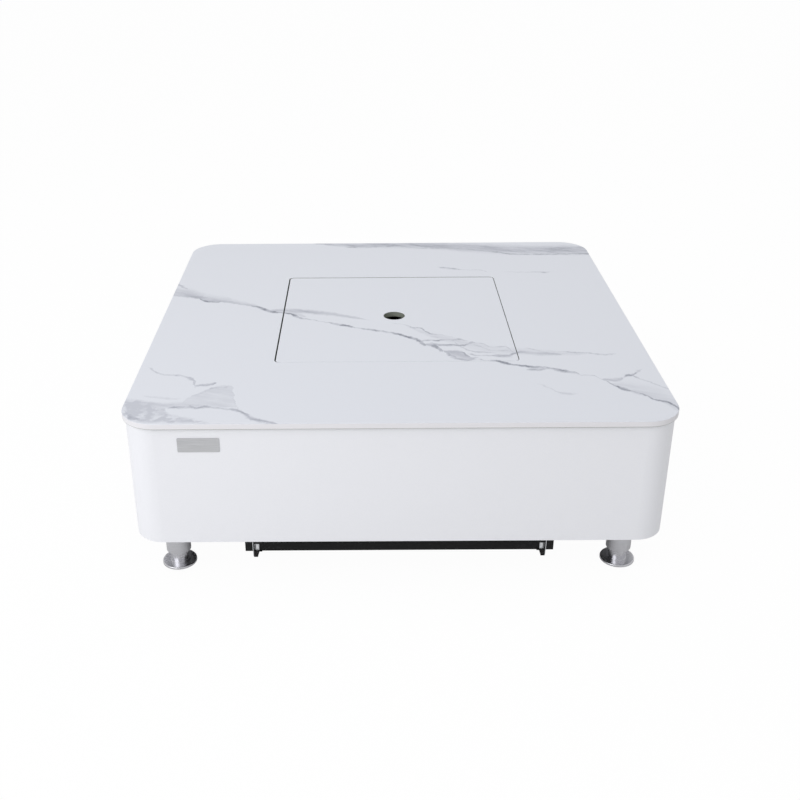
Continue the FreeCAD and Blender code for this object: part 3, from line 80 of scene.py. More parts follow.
# Veins of the printed stone, seen from above: what each stroke is, how dark it is, and its course from left
# to right. A point is x, y and half the stroke's width, in millimetres from the table's centre. A line is
# thin and crisp, a patch is even inside its outline, a mottle is blotchy inside its own, a shade is sharp
# below and fades upwards, and a cloud fades all round.
STROKES = [
    # main vein from the left side to the front right corner, with the shade above it
    ("line", 0.78, [
        (-540, 140, 4), (-500, 130, 4), (-470, 119, 6), (-450, 98, 8), (-430, 92, 8), (-405, 93, 6),
        (-380, 83, 4), (-350, 70, 6), (-325, 58, 9), (-305, 42, 10), (-285, 27, 10), (-262, 22, 6),
        (-240, 13, 8), (-228, 2, 10), (-216, -12, 9), (-190, -22, 4), (-160, -37, 4), (-125, -53, 9),
        (-105, -61, 8), (-80, -76, 4), (-50, -88, 8), (-20, -99, 6), (5, -109, 9), (25, -125, 9),
        (45, -141, 11), (53, -152, 16), (60, -165, 15), (70, -172, 0)]),
    ("cloud", 0.80, [(40, -137, 0), (48, -146, 12), (54, -156, 17), (60, -166, 15), (68, -172, 0)]),
    ("line", 0.58, [
        (56, -163, 0), (66, -169, 9), (76, -172, 10), (86, -181, 15), (93, -195, 15), (106, -205, 0)]),
    ("line", 0.71, [
        (163, -248, 0), (178, -252, 6), (190, -254, 3), (212, -258, 9), (222, -265, 11), (240, -276, 7),
        (265, -283, 8), (285, -289, 8), (305, -290, 6), (322, -297, 6), (350, -312, 9), (362, -317, 8),
        (375, -330, 4), (392, -331, 4), (412, -352, 4), (425, -372, 8), (437, -390, 9), (447, -398, 10),
        (465, -410, 6), (480, -425, 8), (492, -442, 8), (515, -453, 8), (522, -463, 12), (540, -492, 10)]),
    ("shade", 0.48, [
        (-540, 140, 71), (-500, 130, 67), (-470, 119, 53), (-445, 95, 57), (-420, 93, 48), (-395, 90, 37),
        (-370, 78, 30), (-345, 66, 25), (-325, 56, 21), (-305, 42, 15), (-285, 28, 9), (-268, 22, 0)]),
    ("cloud", 0.42, [(-540, 216, 13), (-515, 192, 11), (-490, 172, 0)]),
    ("cloud", 0.45, [
        (-300, 40, 0), (-275, 36, 13), (-240, 33, 19), (-200, 27, 19), (-165, 17, 16), (-135, 8, 14),
        (-105, -5, 11), (-75, -20, 7), (-40, -34, 0)]),
    ("cloud", 0.30, [(-275, 30, 0), (-252, 24, 13), (-230, 12, 16), (-214, 4, 14), (-196, -8, 0)]),
    ("cloud", 0.52, [(98, -202, 0), (108, -208, 10), (124, -211, 13), (138, -212, 11), (146, -216, 0)]),
    ("patch", 0.36, [
        (98, -202, 0), (108, -214, 14), (116, -224, 22), (125, -228, 23), (135, -231, 25), (145, -238, 20),
        (155, -248, 10), (164, -252, 0)]),
    ("line", 0.56, [
        (98, -199, 0), (105, -206, 8), (113, -224, 13), (121, -238, 11), (133, -248, 8), (148, -253, 8),
        (160, -250, 6), (184, -252, 0)]),
    ("line", 0.58, [
        (102, -203, 0), (116, -204, 6), (130, -207, 7), (139, -210, 8), (145, -222, 13), (150, -237, 14),
        (157, -245, 9), (170, -240, 5), (182, -243, 0)]),
    ("line", 0.47, [
        (258, -305, 0), (275, -300, 8), (292, -300, 10), (310, -297, 6), (330, -305, 9), (345, -316, 4),
        (362, -324, 0)]),
    # braided threads above it, in a faint haze
    ("cloud", 0.17, [
        (10, -62, 0), (60, -98, 16), (110, -140, 26), (165, -178, 30), (220, -204, 27), (290, -212, 24),
        (360, -221, 15), (430, -226, 0)]),
    ("line", 0.42, [
        (95, -128, 0), (118, -139, 5), (140, -156, 6), (166, -168, 5), (190, -192, 6), (214, -204, 7),
        (236, -203, 5), (262, -200, 0)]),
    ("line", 0.40, [
        (60, -108, 0), (84, -128, 5), (104, -136, 6), (128, -160, 6), (150, -196, 6), (176, -212, 7),
        (205, -213, 5), (232, -222, 0)]),
    ("line", 0.54, [
        (-25, -42, 0), (0, -50, 4), (20, -56, 4), (30, -64, 6), (38, -73, 6), (58, -79, 6), (66, -90, 8),
        (73, -103, 8), (85, -113, 6), (100, -118, 4), (118, -127, 4), (132, -138, 4), (150, -150, 0)]),
    ("line", 0.60, [
        (48, -151, 0), (60, -148, 6), (75, -145, 6), (91, -152, 8), (97, -146, 8), (112, -145, 7),
        (126, -149, 8), (133, -141, 8), (150, -149, 5), (166, -154, 0)]),
    ("line", 0.54, [
        (58, -160, 0), (78, -164, 7), (90, -170, 8), (102, -175, 8), (125, -175, 8), (145, -176, 8),
        (156, -169, 9), (166, -160, 10), (176, -166, 4), (196, -176, 0)]),
    ("line", 0.44, [
        (163, -160, 0), (185, -166, 6), (195, -176, 6), (206, -187, 4), (222, -184, 6), (236, -183, 6),
        (243, -194, 6), (247, -208, 6), (258, -215, 0)]),
    ("line", 0.48, [
        (146, -216, 0), (160, -224, 6), (178, -230, 5), (205, -230, 7), (222, -231, 9), (238, -230, 9),
        (247, -220, 9), (258, -214, 8), (270, -212, 6), (305, -216, 0)]),
    ("cloud", 0.46, [(196, -229, 0), (212, -230, 12), (228, -231, 14), (242, -229, 13), (252, -222, 0)]),
    ("cloud", 0.49, [
        (238, -212, 0), (262, -212, 12), (285, -216, 16), (310, -220, 16), (335, -223, 14),
        (362, -224, 0)]),
    ("line", 0.44, [
        (258, -190, 0), (290, -196, 6), (305, -205, 6), (325, -208, 6), (345, -211, 4), (380, -217, 6),
        (410, -222, 6), (430, -229, 6), (455, -228, 6), (475, -225, 0)]),
    # fork at the front right corner
    ("cloud", 0.42, [(400, -348, 0), (418, -352, 9), (432, -353, 13), (447, -350, 12), (460, -342, 0)]),
    ("line", 0.60, [
        (450, -352, 0), (460, -336, 8), (468, -331, 9), (478, -330, 8), (486, -318, 8), (495, -308, 6),
        (505, -298, 0)]),
    ("line", 0.60, [
        (470, -326, 0), (480, -338, 8), (490, -351, 6), (503, -364, 6), (515, -378, 6), (540, -398, 4)]),
    ("shade", 0.24, [(420, -368, 0), (447, -398, 46), (480, -425, 69), (505, -448, 83), (540, -492, 109)]),
    ("line", 0.19, [
        (272, -366, 0), (290, -380, 8), (302, -392, 6), (320, -412, 8), (338, -414, 8), (355, -412, 0)]),
    # broad cloud along the back
    ("cloud", 0.56, [
        (-240, 534, 0), (-150, 524, 24), (-90, 514, 31), (-20, 515, 33), (60, 512, 40), (140, 505, 44),
        (200, 492, 51), (260, 482, 55), (330, 470, 53), (400, 462, 51), (470, 464, 55), (540, 464, 59)]),
    ("line", 0.57, [
        (-140, 497, 0), (-100, 499, 9), (-60, 500, 9), (-20, 503, 8), (20, 512, 8), (60, 524, 8),
        (90, 530, 0)]),
    ("line", 0.52, [
        (30, 488, 0), (100, 486, 8), (160, 484, 9), (210, 476, 9), (250, 462, 10), (290, 448, 10),
        (320, 434, 9), (360, 430, 8), (420, 428, 9), (470, 432, 10), (540, 430, 10)]),
    ("cloud", 0.58, [(400, 470, 0), (450, 476, 22), (490, 478, 29), (540, 480, 31)]),
    ("line", 0.52, [
        (112, 334, 0), (140, 325, 9), (165, 317, 8), (190, 310, 4), (227, 308, 4), (243, 296, 4),
        (252, 280, 0)]),
    ("line", 0.39, [
        (262, 290, 0), (300, 289, 3), (377, 288, 6), (390, 286, 8), (407, 288, 4), (440, 290, 0)]),
    # broken corner at the front left
    ("line", 0.39, [
        (-522, -276, 0), (-508, -290, 7), (-498, -303, 7), (-485, -313, 5), (-460, -317, 5),
        (-450, -317, 8), (-438, -323, 6), (-425, -333, 9), (-414, -340, 11), (-410, -353, 15),
        (-406, -368, 14), (-402, -378, 0)]),
    ("line", 0.15, [(-515, -405, 0), (-495, -416, 6), (-465, -422, 7), (-440, -428, 7), (-412, -425, 0)]),
    ("cloud", 0.60, [
        (-412, -367, 0), (-402, -366, 7), (-390, -365, 8), (-378, -363, 10), (-371, -360, 9),
        (-364, -356, 0)]),
    ("patch", 0.21, [
        (-432, -455, 0), (-410, -440, 22), (-390, -428, 34), (-370, -419, 46), (-350, -417, 50),
        (-335, -417, 50), (-327, -430, 36), (-318, -454, 14), (-308, -466, 0)]),
    ("line", 0.31, [
        (-414, -424, 0), (-400, -412, 5), (-385, -400, 7), (-370, -381, 9), (-350, -378, 7),
        (-336, -374, 9), (-330, -388, 7), (-325, -410, 5), (-320, -442, 7), (-313, -464, 7),
        (-304, -478, 0)]),
    ("line", 0.52, [
        (-458, -466, 0), (-440, -465, 8), (-420, -464, 9), (-400, -462, 10), (-392, -467, 8),
        (-370, -462, 8), (-350, -467, 6), (-330, -472, 6), (-318, -475, 0)]),
    ("cloud", 0.66, [
        (-345, -470, 0), (-318, -475, 9), (-305, -483, 10), (-293, -495, 11), (-280, -510, 12),
        (-268, -517, 11), (-255, -523, 10), (-240, -530, 9), (-228, -538, 7), (-212, -546, 0)]),
    ("cloud", 0.31, [
        (-540, -440, 18), (-500, -448, 20), (-455, -456, 18), (-425, -454, 18), (-395, -455, 15),
        (-362, -458, 0)]),
    ("mottle", 0.29, [
        (-540, -468, 48), (-500, -478, 50), (-470, -486, 46), (-456, -490, 42), (-443, -505, 26),
        (-425, -514, 21), (-395, -520, 16), (-370, -526, 12), (-340, -534, 0)]),
    ("line", 0.46, [
        (-532, -470, 0), (-524, -482, 8), (-515, -495, 12), (-506, -504, 14), (-496, -511, 10),
        (-482, -517, 8), (-462, -522, 0)]),
    ("cloud", 0.46, [(-445, -522, 0), (-432, -523, 10), (-424, -522, 9), (-412, -518, 0)]),
    ("cloud", 0.32, [(-398, -528, 0), (-386, -524, 9), (-378, -522, 8), (-366, -520, 0)]),
]
LEVEL_RUN = 20  # millimetres that a stroke's curves run on past its ends
LEAST_FADE = 8 * MM  # shortest way over which a shade or a cloud fades


def linear(code):
    """Linear colour of an sRGB hex code."""
    channels = [int(code[place:place + 2], 16) / 255 for place in (0, 2, 4)]
    return tuple(c / 12.92 if c <= 0.04045 else ((c + 0.055) / 1.055) ** 2.4 for c in channels)


def colour(name, description, code):
    """Colour property with an sRGB hex code as its default."""
    return FloatVectorProperty(name=name, description=description, default=linear(code), subtype="COLOR",
                               min=0, max=1)


def number(name, description, value, **kind):
    """Number property."""
    return FloatProperty(name=name, description=description, default=value, **kind)


def length(name, description, millimetres):
    """Length property with a default in millimetres."""
    return number(name, description, millimetres * MM, unit="LENGTH", precision=4)


def angle(name, description, degrees):
    """Angle property with a default in degrees."""
    return number(name, description, math.radians(degrees), unit="ROTATION", precision=4)


def spot(name, description, metres):
    """Place property with a default in metres."""
    return FloatVectorProperty(name=name, description=description, default=metres, subtype="TRANSLATION",
                               unit="LENGTH")


class StoneSettings(bpy.types.PropertyGroup):
    """Stone top and lid."""
    ground: colour("Ground", "White of the slab between its veins", "DFE2EA")
    cloud: colour("Cloud", "Grey of the soft bands", "B7BAC5")
    line: colour("Line", "Grey of the fine veins", "7E8390")
    core: colour("Core", "Darkest grey, in the heart of the main vein", "585D69")
    edge: colour("Edge", "White of the slab's outer edge", "E4E3E7")
    # painted shade, in part: this body colour also darkens the lid gaps, the finger hole and the thin line
    # under the slab's edge
    body: colour("Body", "Grey green of the stone under its printed face", "8F948A")
    corner: length("Corner", "Corner radius of the slab", 72)
    opening_corner: length("Opening corner", "Corner radius of the opening over the fire", 12)
    lid_corner: length("Lid corner", "Corner radius of the lid", 9.5)
    lid_gap: length("Lid gap", "Gap all round the lid, if it lay in the middle", 2.2)
    finger_hole: length("Finger hole", "Radius of the hole that lifts the lid", 24.5)
    arris: length("Arris", "Rounding of the slab's edges", 1.2)
    lid_arris: length("Lid arris", "Rounding of the lid's upper edges", 0.6)
    wander: length("Wander", "How far the veins stray from their drawn course", 8)
    wander_wave: length("Wander wave", "Size of the waves in which they stray", 90)
    tremble: length("Tremble", "How far the veins' edges fray", 12)
    tremble_wave: length("Tremble wave", "Size of the waves in which they fray", 14)
    thread_wave: length("Thread wave", "Size of the smallest waves, which go half as far", 5)
    breaks: length("Breaks", "Size of the breaks in a line", 22)
    blots: length("Blots", "Size of the blots in a mottle", 26)
    streak_length: length("Streak length", "Length of the streaks in a cloud", 80)
    streak_width: length("Streak width", "Width of the streaks in a cloud", 16)
    streak_turn: angle("Streak turn", "Turn of the streaks, which follow the main vein", -20)
    line_fade: length("Line fade", "Soft edge of a line", 8)
    patch_fade: length("Patch fade", "Soft edge of a patch", 6)
    mottle_fade: length("Mottle fade", "Soft edge of a mottle", 16)
    shade_steep: number("Shade steepness", "How many times as sharp a shade is below as above", 6)


class CoatSettings(bpy.types.PropertyGroup):
    """Powder coats and plastics."""
    white: colour("White coat", "Powder coat of the skirt", "EBECF1")
    black: colour("Black coat", "Powder coat of the frame and the tray", "161617")
    plastic: colour("Plastic", "Moulded black plastic", "141415")
    peel: length("Peel", "Width of the ripples in a powder coat", 2.4)


class MetalSettings(bpy.types.PropertyGroup):
    """Bare metals."""
    steel: colour("Steel", "Stainless steel", "C8C8CC")
    zinc: colour("Zinc", "Zinc plating", "D6D8DB")
    brass: colour("Brass", "Turned brass", "C9A75C")
    aluminium: colour("Aluminium", "Bare aluminium", "C6C7CA")
    brush: length("Brush", "Spacing of the brush lines, drawn coarser than real so that they show", 0.8)


class FootSettings(bpy.types.PropertyGroup):
    """Levelling feet."""
    disc: length("Disc", "Thickness of the foot's disc", 4.5)
    rim: length("Rim", "Rounding of the disc's upper rim", 1.8)
    stem: length("Stem", "Radius of the stem", 17.8)
    fillet: length("Fillet", "Rounding between the stem and the disc", 0.8)
    stud: length("Stud", "Radius of the threaded stud", 6)
    stud_length: length("Stud length", "Length of the threaded stud", 28)
    stud_chamfer: length("Stud chamfer", "Chamfer of the stud's end", 1.5)


class LavaSettings(bpy.types.PropertyGroup):
    """Lava rock."""
    rock: colour("Rock", "Brown black of the rock", "37302C")
    ridge_tone: colour("Ash", "Paler grey brown on its ridges", "5E544D")
    pore: length("Pore", "Width of the pores", 3)
    lump: length("Lump", "Width of the lumps", 9)
    relief: length("Relief", "Depth of the pores and lumps", 2)
    kinds: IntProperty(name="Kinds", description="Number of different rocks", default=4, min=1)


class ControlSettings(bpy.types.PropertyGroup):
    """Small parts of the controls and the slides."""
    screw_head: length("Screw head", "Radius of a rim screw's head", 4)
    screw_dome: length("Screw dome", "Height of a rim screw's head", 2)
    screw_round: length("Screw rounding", "Rounding of a rim screw's head", 1.6)
    screw_shank: length("Screw shank", "Radius of a rim screw's shank", 1.8)
    recess_length: length("Recess length", "Length of a cross recess", 4.4)
    recess_width: length("Recess width", "Width of a cross recess", 0.96)
    recess_depth: length("Recess depth", "Depth of a cross recess", 1.1)
    pointer_width: length("Pointer width", "Width of the knob's pointer", 1.6)
    pointer_length: length("Pointer length", "Length of the knob's pointer", 13)
    pointer_thick: length("Pointer thickness", "Thickness of the knob's pointer", 0.3)
    pointer_round: length("Pointer rounding", "Rounding of the pointer's ends", 0.72)
    pointer_out: length("Pointer place", "Way from the knob's middle to the pointer's", 7.15)
    ball_pitch: length("Ball pitch", "Spacing of the balls along a cage", 9)


class StageSettings(bpy.types.PropertyGroup):
    """Camera, floor and lamps."""
    lens: number("Lens", "Focal length in millimetres", 47.29, unit="CAMERA")
    place: spot("Camera", "Place of the camera", (-0.0612, -2.2600, 1.2753))
    yaw: angle("Yaw", "Turn of the camera to the right", -0.229)
    pitch: angle("Pitch", "Tilt of the camera downwards", 26.039)
    roll: angle("Roll", "Roll of the camera, clockwise", 0.435)
    shift: FloatVectorProperty(name="Shift", description="Shift of the frame, as shares of its width",
                               default=(0.0449, -0.0130), size=2, precision=4)
    floor: colour("Floor", "Colour of the floor", "FAFAFA")
    floor_side: length("Floor side", "Side of the floor", 80000)
    floor_room: length("Floor room", "Room under the feet, so that they can be screwed out", 10.5)
    floor_white: number("Floor white", "Share of the floor that is seen as pure white", 0.97,
                        min=0, max=1, subtype="FACTOR")
    floor_mirrored: number("Floor mirrored", "The same share, as metal mirrors it", 0.05,
                           min=0, max=1, subtype="FACTOR")
    sky: number("Sky", "Strength of the even light from all round", 0.555)
    key: number("Key", "Power of the large lamp at the front left", 55, unit="POWER")
    key_side: length("Key side", "Side of the large lamp at the front left", 2600)
    key_place: spot("Key place", "Place of the large lamp at the front left", (-2.2, -2.6, 2.2))
    top: number("Top", "Power of the large lamp overhead", 20.5, unit="POWER")
    top_side: length("Top side", "Side of the large lamp overhead", 3000)
    top_place: spot("Top place", "Place of the large lamp overhead", (0.0, 0.4, 3.2))


def add(tree, kind, inputs=None, stops=None, points=None, **settings):
    """Adds a shader node. Inputs are values or other nodes' outputs, by socket; stops are a ramp's places
    and colours, points are a curve's, and the rest are the node's own settings."""
    node = tree.nodes.new("ShaderNode" + kind)
    for name, value in settings.items():
        setattr(node, name, value)
    for socket, value in (inputs or {}).items():
        if isinstance(value, bpy.types.NodeSocket):
            tree.links.new(value, node.inputs[socket])
        else:
            node.inputs[socket].default_value = value
    if stops:
        elements = node.color_ramp.elements
        for index, (place, tone) in enumerate(stops):
            stop = elements[index] if index < 2 else elements.new(place)
            stop.position = place
            stop.color = (*tone, 1)
    if points:
        node.mapping.use_clip = False
        node.mapping.extend = "HORIZONTAL"
        knots = node.mapping.curves[0].points
        for index, place in enumerate((points[0], points[-1], *points[1:-1])):
            knot = knots[index] if index < 2 else knots.new(*place)
            knot.location = place
        for knot in knots:
            knot.handle_type = "AUTO_CLAMPED"
        node.mapping.update()
    return node


def new_material(name, metallic=0.0, roughness=0.5):
    """A material, its node tree and its main shader."""
    material = bpy.data.materials.new(name)
    material.use_nodes = True
    tree = material.node_tree
    shader = next(node for node in tree.nodes if node.type == "BSDF_PRINCIPLED")
    shader.inputs["Metallic"].default_value = metallic
    shader.inputs["Roughness"].default_value = roughness
    return material, tree, shader


def stroke(tree, place, points, edge, steep):
    """Mask of one vein: 1 on its course and 0 at half its width above it, or steep times as near below it.
    The edge is how far it takes to fade, and without one it fades all the way."""
    across = add(tree, "SeparateXYZ", {0: place}).outputs
    # a level run past each end, because a curve's last value holds for all that lies beyond it
    first, last = points[0], points[-1]
    runs = [(first[0] - LEVEL_RUN, *first[1:]), *points, (last[0] + LEVEL_RUN, *last[1:])]
    courses, widths = [(x * MM, y * MM) for x, y, _ in runs], [(x * MM, half * MM) for x, _, half in runs]
    course = add(tree, "FloatCurve", {"Value": across["X"]}, points=courses).outputs[0]
    width = add(tree, "FloatCurve", {"Value": across["X"]}, points=widths).outputs[0]
    above = add(tree, "Math", {0: across["Y"], 1: course}, operation="SUBTRACT").outputs[0]
    below = add(tree, "Math", {0: above, 1: -steep}, operation="MULTIPLY").outputs[0]
    away = add(tree, "Math", {0: above, 1: below}, operation="MAXIMUM").outputs[0]
    within = add(tree, "Math", {0: width, 1: away}, operation="SUBTRACT").outputs[0]
    if not edge:
        edge = add(tree, "Math", {0: width, 1: LEAST_FADE}, operation="MAXIMUM").outputs[0]
    mask = add(tree, "MapRange", {"Value": within, "From Min": 0.0, "From Max": edge},
               interpolation_type="SMOOTHSTEP")
    return mask.outputs["Result"]


def strayed(tree, place, spacing, reach):
    """A place moved about by noise, by half the reach at most either way."""
    noise = add(tree, "TexNoise", {"Vector": place, "Scale": 1 / spacing, "Detail": 4.0})
    shift = add(tree, "VectorMath", {0: noise.outputs["Color"], 1: (0.5, 0.5, 0.5)}, operation="SUBTRACT")
    return add(tree, "VectorMath", {0: shift.outputs[0], 1: (reach, reach, 0), 2: place},
               operation="MULTIPLY_ADD").outputs[0]


def printed_stone():
    """Sintered stone with a printed marble face."""
    # Satin and cool white, with sharp branching grey veins and smoky bands on top, a plain white outer edge,
    # and the grey green body of the stone below it and where it was cut for the lid and the finger hole.
    # That darker grey green is partly the stone's body and partly painted shade. It darkens the gaps round
    # the lid, the finger hole and a thin line under the slab's edge, where shade falls.
    look = bpy.context.scene.pit_stone
    material, tree, shader = new_material("printed_sintered_stone", roughness=0.42)
    place = add(tree, "TexCoord").outputs["Object"]
    drawn = strayed(tree, place, look.wander_wave, look.wander)
    drawn = strayed(tree, drawn, look.tremble_wave, look.tremble)
    drawn = strayed(tree, drawn, look.thread_wave, look.tremble / 2)

    # lines are broken, mottles are blotchy, and the rest is streaked along the main vein
    breaks = add(tree, "TexNoise", {"Vector": place, "Scale": 1 / look.breaks, "Detail": 4.0})
    along = add(tree, "Mapping", {"Vector": drawn, "Rotation": (0, 0, look.streak_turn),
                                  "Scale": (look.streak_length, look.streak_width, 1)},
                vector_type="TEXTURE").outputs[0]
    smoke = add(tree, "TexNoise", {"Vector": along, "Scale": 1.0, "Detail": 6.0, "Roughness": 0.6})
    blots = add(tree, "TexNoise", {"Vector": drawn, "Scale": 1 / look.blots, "Detail": 4.0})
    # each noise, from low to high, is stretched to run from its least strength to 1
    broken, smoky, blotchy = (
        add(tree, "MapRange", {"Value": noise.outputs["Fac"], "From Min": low, "From Max": high,
                               "To Min": least, "To Max": 1.0}).outputs[0]
        for noise, low, high, least in (
            (breaks, 0.36, 0.6, 0.4), (smoke, 0.32, 0.66, 0.35), (blots, 0.4, 0.54, 0.2)))
    made_of = {"line": (broken, look.line_fade, 1), "patch": (smoky, look.patch_fade, 1),
               "shade": (smoky, 0, look.shade_steep), "cloud": (smoky, 0, 1),
               "mottle": (blotchy, look.mottle_fade, 1)}

    depth = 0.0
    for kind, tone, points in STROKES:
        body, edge, steep = made_of[kind]
        mask = stroke(tree, drawn, points, edge, steep)
        strength = add(tree, "Math", {0: mask, 1: body}, operation="MULTIPLY").outputs[0]
        strength = add(tree, "Math", {0: strength, 1: tone}, operation="MULTIPLY").outputs[0]
        depth = add(tree, "Math", {0: depth, 1: strength}, operation="MAXIMUM").outputs[0]
    tones = add(tree, "ValToRGB", {0: depth}, stops=[
        (0.0, look.ground), (1.0, look.core), (0.38, look.cloud), (0.72, look.line)])

    across = add(tree, "SeparateXYZ", {0: place}).outputs
    printed = add(tree, "Math", {0: across["Z"], 1: SLAB_HIGH.z - look.arris / 2},
                  operation="GREATER_THAN").outputs[0]
    # painted shade in the gaps: the cut faces round the opening, the lid's sides and the finger hole take
    # the darker body colour
    sides = [add(tree, "Math", {0: across[axis]}, operation="ABSOLUTE").outputs[0] for axis in "XY"]
    reach = add(tree, "Math", {0: sides[0], 1: sides[1]}, operation="MAXIMUM").outputs[0]
    middle = add(tree, "Math", {0: reach, 1: (SLAB_HIGH.x + LID_HIGH.x) / 2},
                 operation="LESS_THAN").outputs[0]
    # painted shade line: the lowest arris band takes the darker body colour, standing for the shadow under
    # the slab's overhang as well as for the raw stone
    under = add(tree, "Math", {0: across["Z"], 1: SLAB_LOW.z + look.arris},
                operation="LESS_THAN").outputs[0]
    cut_faces_and_painted_shade = add(tree, "Math", {0: middle, 1: under}, operation="MAXIMUM").outputs[0]
    side = add(tree, "Mix", {0: cut_faces_and_painted_shade, 6: (*look.edge, 1), 7: (*look.body, 1)}, data_type="RGBA").outputs[2]
    face = add(tree, "Mix", {0: printed, 6: side, 7: tones.outputs["Color"]}, data_type="RGBA").outputs[2]
    tree.links.new(face, shader.inputs["Base Color"])
    return material


def grained(name, tone, spacing, roughness, metallic=0.0, mottle=0.06, gloss=0.05, height=0.0, shine=0.5):
    """A finish with one grain in its tone, gloss and height. Spacing is the grain's size along x, y and z,
    and height its depth, in millimetres. Mottle is the share by which its tone falls, gloss the change in
    roughness, and shine the strength of a coat's mirror light."""
    material, tree, shader = new_material(name, metallic, roughness)
    shader.inputs["Specular IOR Level"].default_value = shine
    place = add(tree, "TexCoord").outputs["Object"]
    spread = add(tree, "Mapping", {"Vector": place, "Scale": [1 / (step * MM) for step in spacing]})
    grain = add(tree, "TexNoise", {"Vector": spread.outputs[0], "Scale": 1.0, "Detail": 3.0}).outputs["Fac"]
    tones = add(tree, "ValToRGB", {0: grain}, stops=[(0.3, [c * (1 - mottle) for c in tone]), (0.7, tone)])
    tree.links.new(tones.outputs["Color"], shader.inputs["Base Color"])
    sheen = add(tree, "MapRange", {"Value": grain, "From Min": 0.3, "From Max": 0.7,
                                   "To Min": roughness + gloss, "To Max": roughness - gloss})
    tree.links.new(sheen.outputs[0], shader.inputs["Roughness"])
    if height:
        bump = add(tree, "Bump", {"Height": grain, "Strength": 1.0, "Distance": height * MM})
        tree.links.new(bump.outputs[0], shader.inputs["Normal"])
    return material


def coat(slot, *finish, **grain):
    """Makes a grained finish and gives it to every CAD node of a material slot."""
    material = grained(*finish, **grain)
    for part in frame["record"]["subparts"]:
        if part["material_slot"] == slot:
            for holder in NODES[part["node"]].material_slots:
                holder.material = material
    return material


def lava_rock():
    """Lava rock, broken from a cooled flow."""
    # Dull brown black, open with pores, and paler grey brown on its raised ridges, following the same relief
    # that dents it.
    look = bpy.context.scene.pit_lava
    material, tree, shader = new_material("lava_rock", roughness=0.95)
    place = add(tree, "TexCoord").outputs["Object"]
    pores = add(tree, "TexVoronoi", {"Vector": place, "Scale": 1 / look.pore})
    lumps = add(tree, "TexNoise", {"Vector": place, "Scale": 1 / look.lump, "Detail": 5.0})
    relief = add(tree, "Math", {0: pores.outputs["Distance"], 1: lumps.outputs["Fac"]},
                 operation="MULTIPLY").outputs[0]
    tones = add(tree, "ValToRGB", {0: relief}, stops=[(0.08, look.rock), (0.45, look.ridge_tone)])
    tree.links.new(tones.outputs["Color"], shader.inputs["Base Color"])
    bump = add(tree, "Bump", {"Height": relief, "Strength": 1.0, "Distance": look.relief})
    tree.links.new(bump.outputs[0], shader.inputs["Normal"])
    return material


def fresh(name, operator, **options):
    """Adds an object under its name, alone in the selection."""
    bpy.ops.object.select_all(action="DESELECT")
    operator(**options)
    made = bpy.context.object
    made.name = name
    return made


def start(name, primitive, **options):
    """Adds a primitive under a piece's name and opens it in edit mode."""
    piece = fresh(name, primitive, **options)
    bpy.ops.object.transform_apply(location=True, rotation=True, scale=True)
    bpy.ops.object.mode_set(mode="EDIT")
    return piece


def pick(piece, kind, test):
    """Selects those of a piece's verts, edges or faces that pass a test, and nothing else."""
    bpy.ops.mesh.select_mode(type=kind[:-1].upper())
    bpy.ops.mesh.select_all(action="DESELECT")
    mesh = bmesh.from_edit_mesh(piece.data)
    for part in getattr(mesh, kind):
        if test(part):
            part.select_set(True)
    bmesh.update_edit_mesh(piece.data)


def pull(x, y, z):
    """Extrudes what is selected."""
    bpy.ops.mesh.extrude_region_move(TRANSFORM_OT_translate={"value": (x, y, z)})


def round_over(radius, segments):
    """Rounds the selected edges."""
    bpy.ops.mesh.bevel(offset=radius, offset_type="OFFSET", segments=segments, profile=0.5, affect="EDGES")


def face_outwards():
    """Turns every face outwards."""
    bpy.ops.mesh.select_all(action="SELECT")
    bpy.ops.mesh.normals_make_consistent(inside=False)


def close():
    """Turns every face outwards and leaves edit mode."""
    face_outwards()
    bpy.ops.object.mode_set(mode="OBJECT")


def select(*pieces):
    """Selects pieces and makes the first one active."""
    bpy.ops.object.select_all(action="DESELECT")
    for piece in pieces:
        piece.select_set(True)
    bpy.context.view_layer.objects.active = pieces[0]


def carve(piece, cutter):
    """Cuts one piece out of another and drops the cutter."""
    select(piece)
    bpy.ops.object.modifier_add(type="BOOLEAN")
    modifier = piece.modifiers[-1]
    modifier.object = cutter
    modifier.operation = "DIFFERENCE"
    modifier.solver = "EXACT"
    bpy.ops.object.modifier_apply(modifier=modifier.name)
    bpy.data.objects.remove(cutter)


def copies(piece, places):
    """Copies a piece to each place, given as move, turn and scale, joins the copies and drops the piece."""
    made = []
    for move, turn, scale in places:
        twin = piece.copy()
        twin.data = piece.data.copy()
        bpy.context.collection.objects.link(twin)
        twin.matrix_world = Matrix.LocRotScale(move, Euler(turn), scale)
        made.append(twin)
    name = piece.name
    bpy.data.objects.remove(piece)
    select(*made)
    bpy.ops.object.transform_apply(location=True, rotation=True, scale=True)
    bpy.ops.object.join()
    made[0].name = name
    return made[0]


def settle(piece, body, slot, material, *nodes):
    """Smooths a finished piece and gives it its body, its finish and the CAD nodes it stands for."""
    select(piece)
    bpy.ops.object.shade_smooth_by_angle(angle=SMOOTH_ANGLE)
    bpy.ops.object.modifier_add(type="WEIGHTED_NORMAL")
    piece.modifiers[-1].keep_sharp = True
    bpy.ops.object.modifier_apply(modifier=piece.modifiers[-1].name)
    piece.data.materials.clear()
    piece.data.materials.append(material)
    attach(piece, body)
    if nodes:
        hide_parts(*nodes)


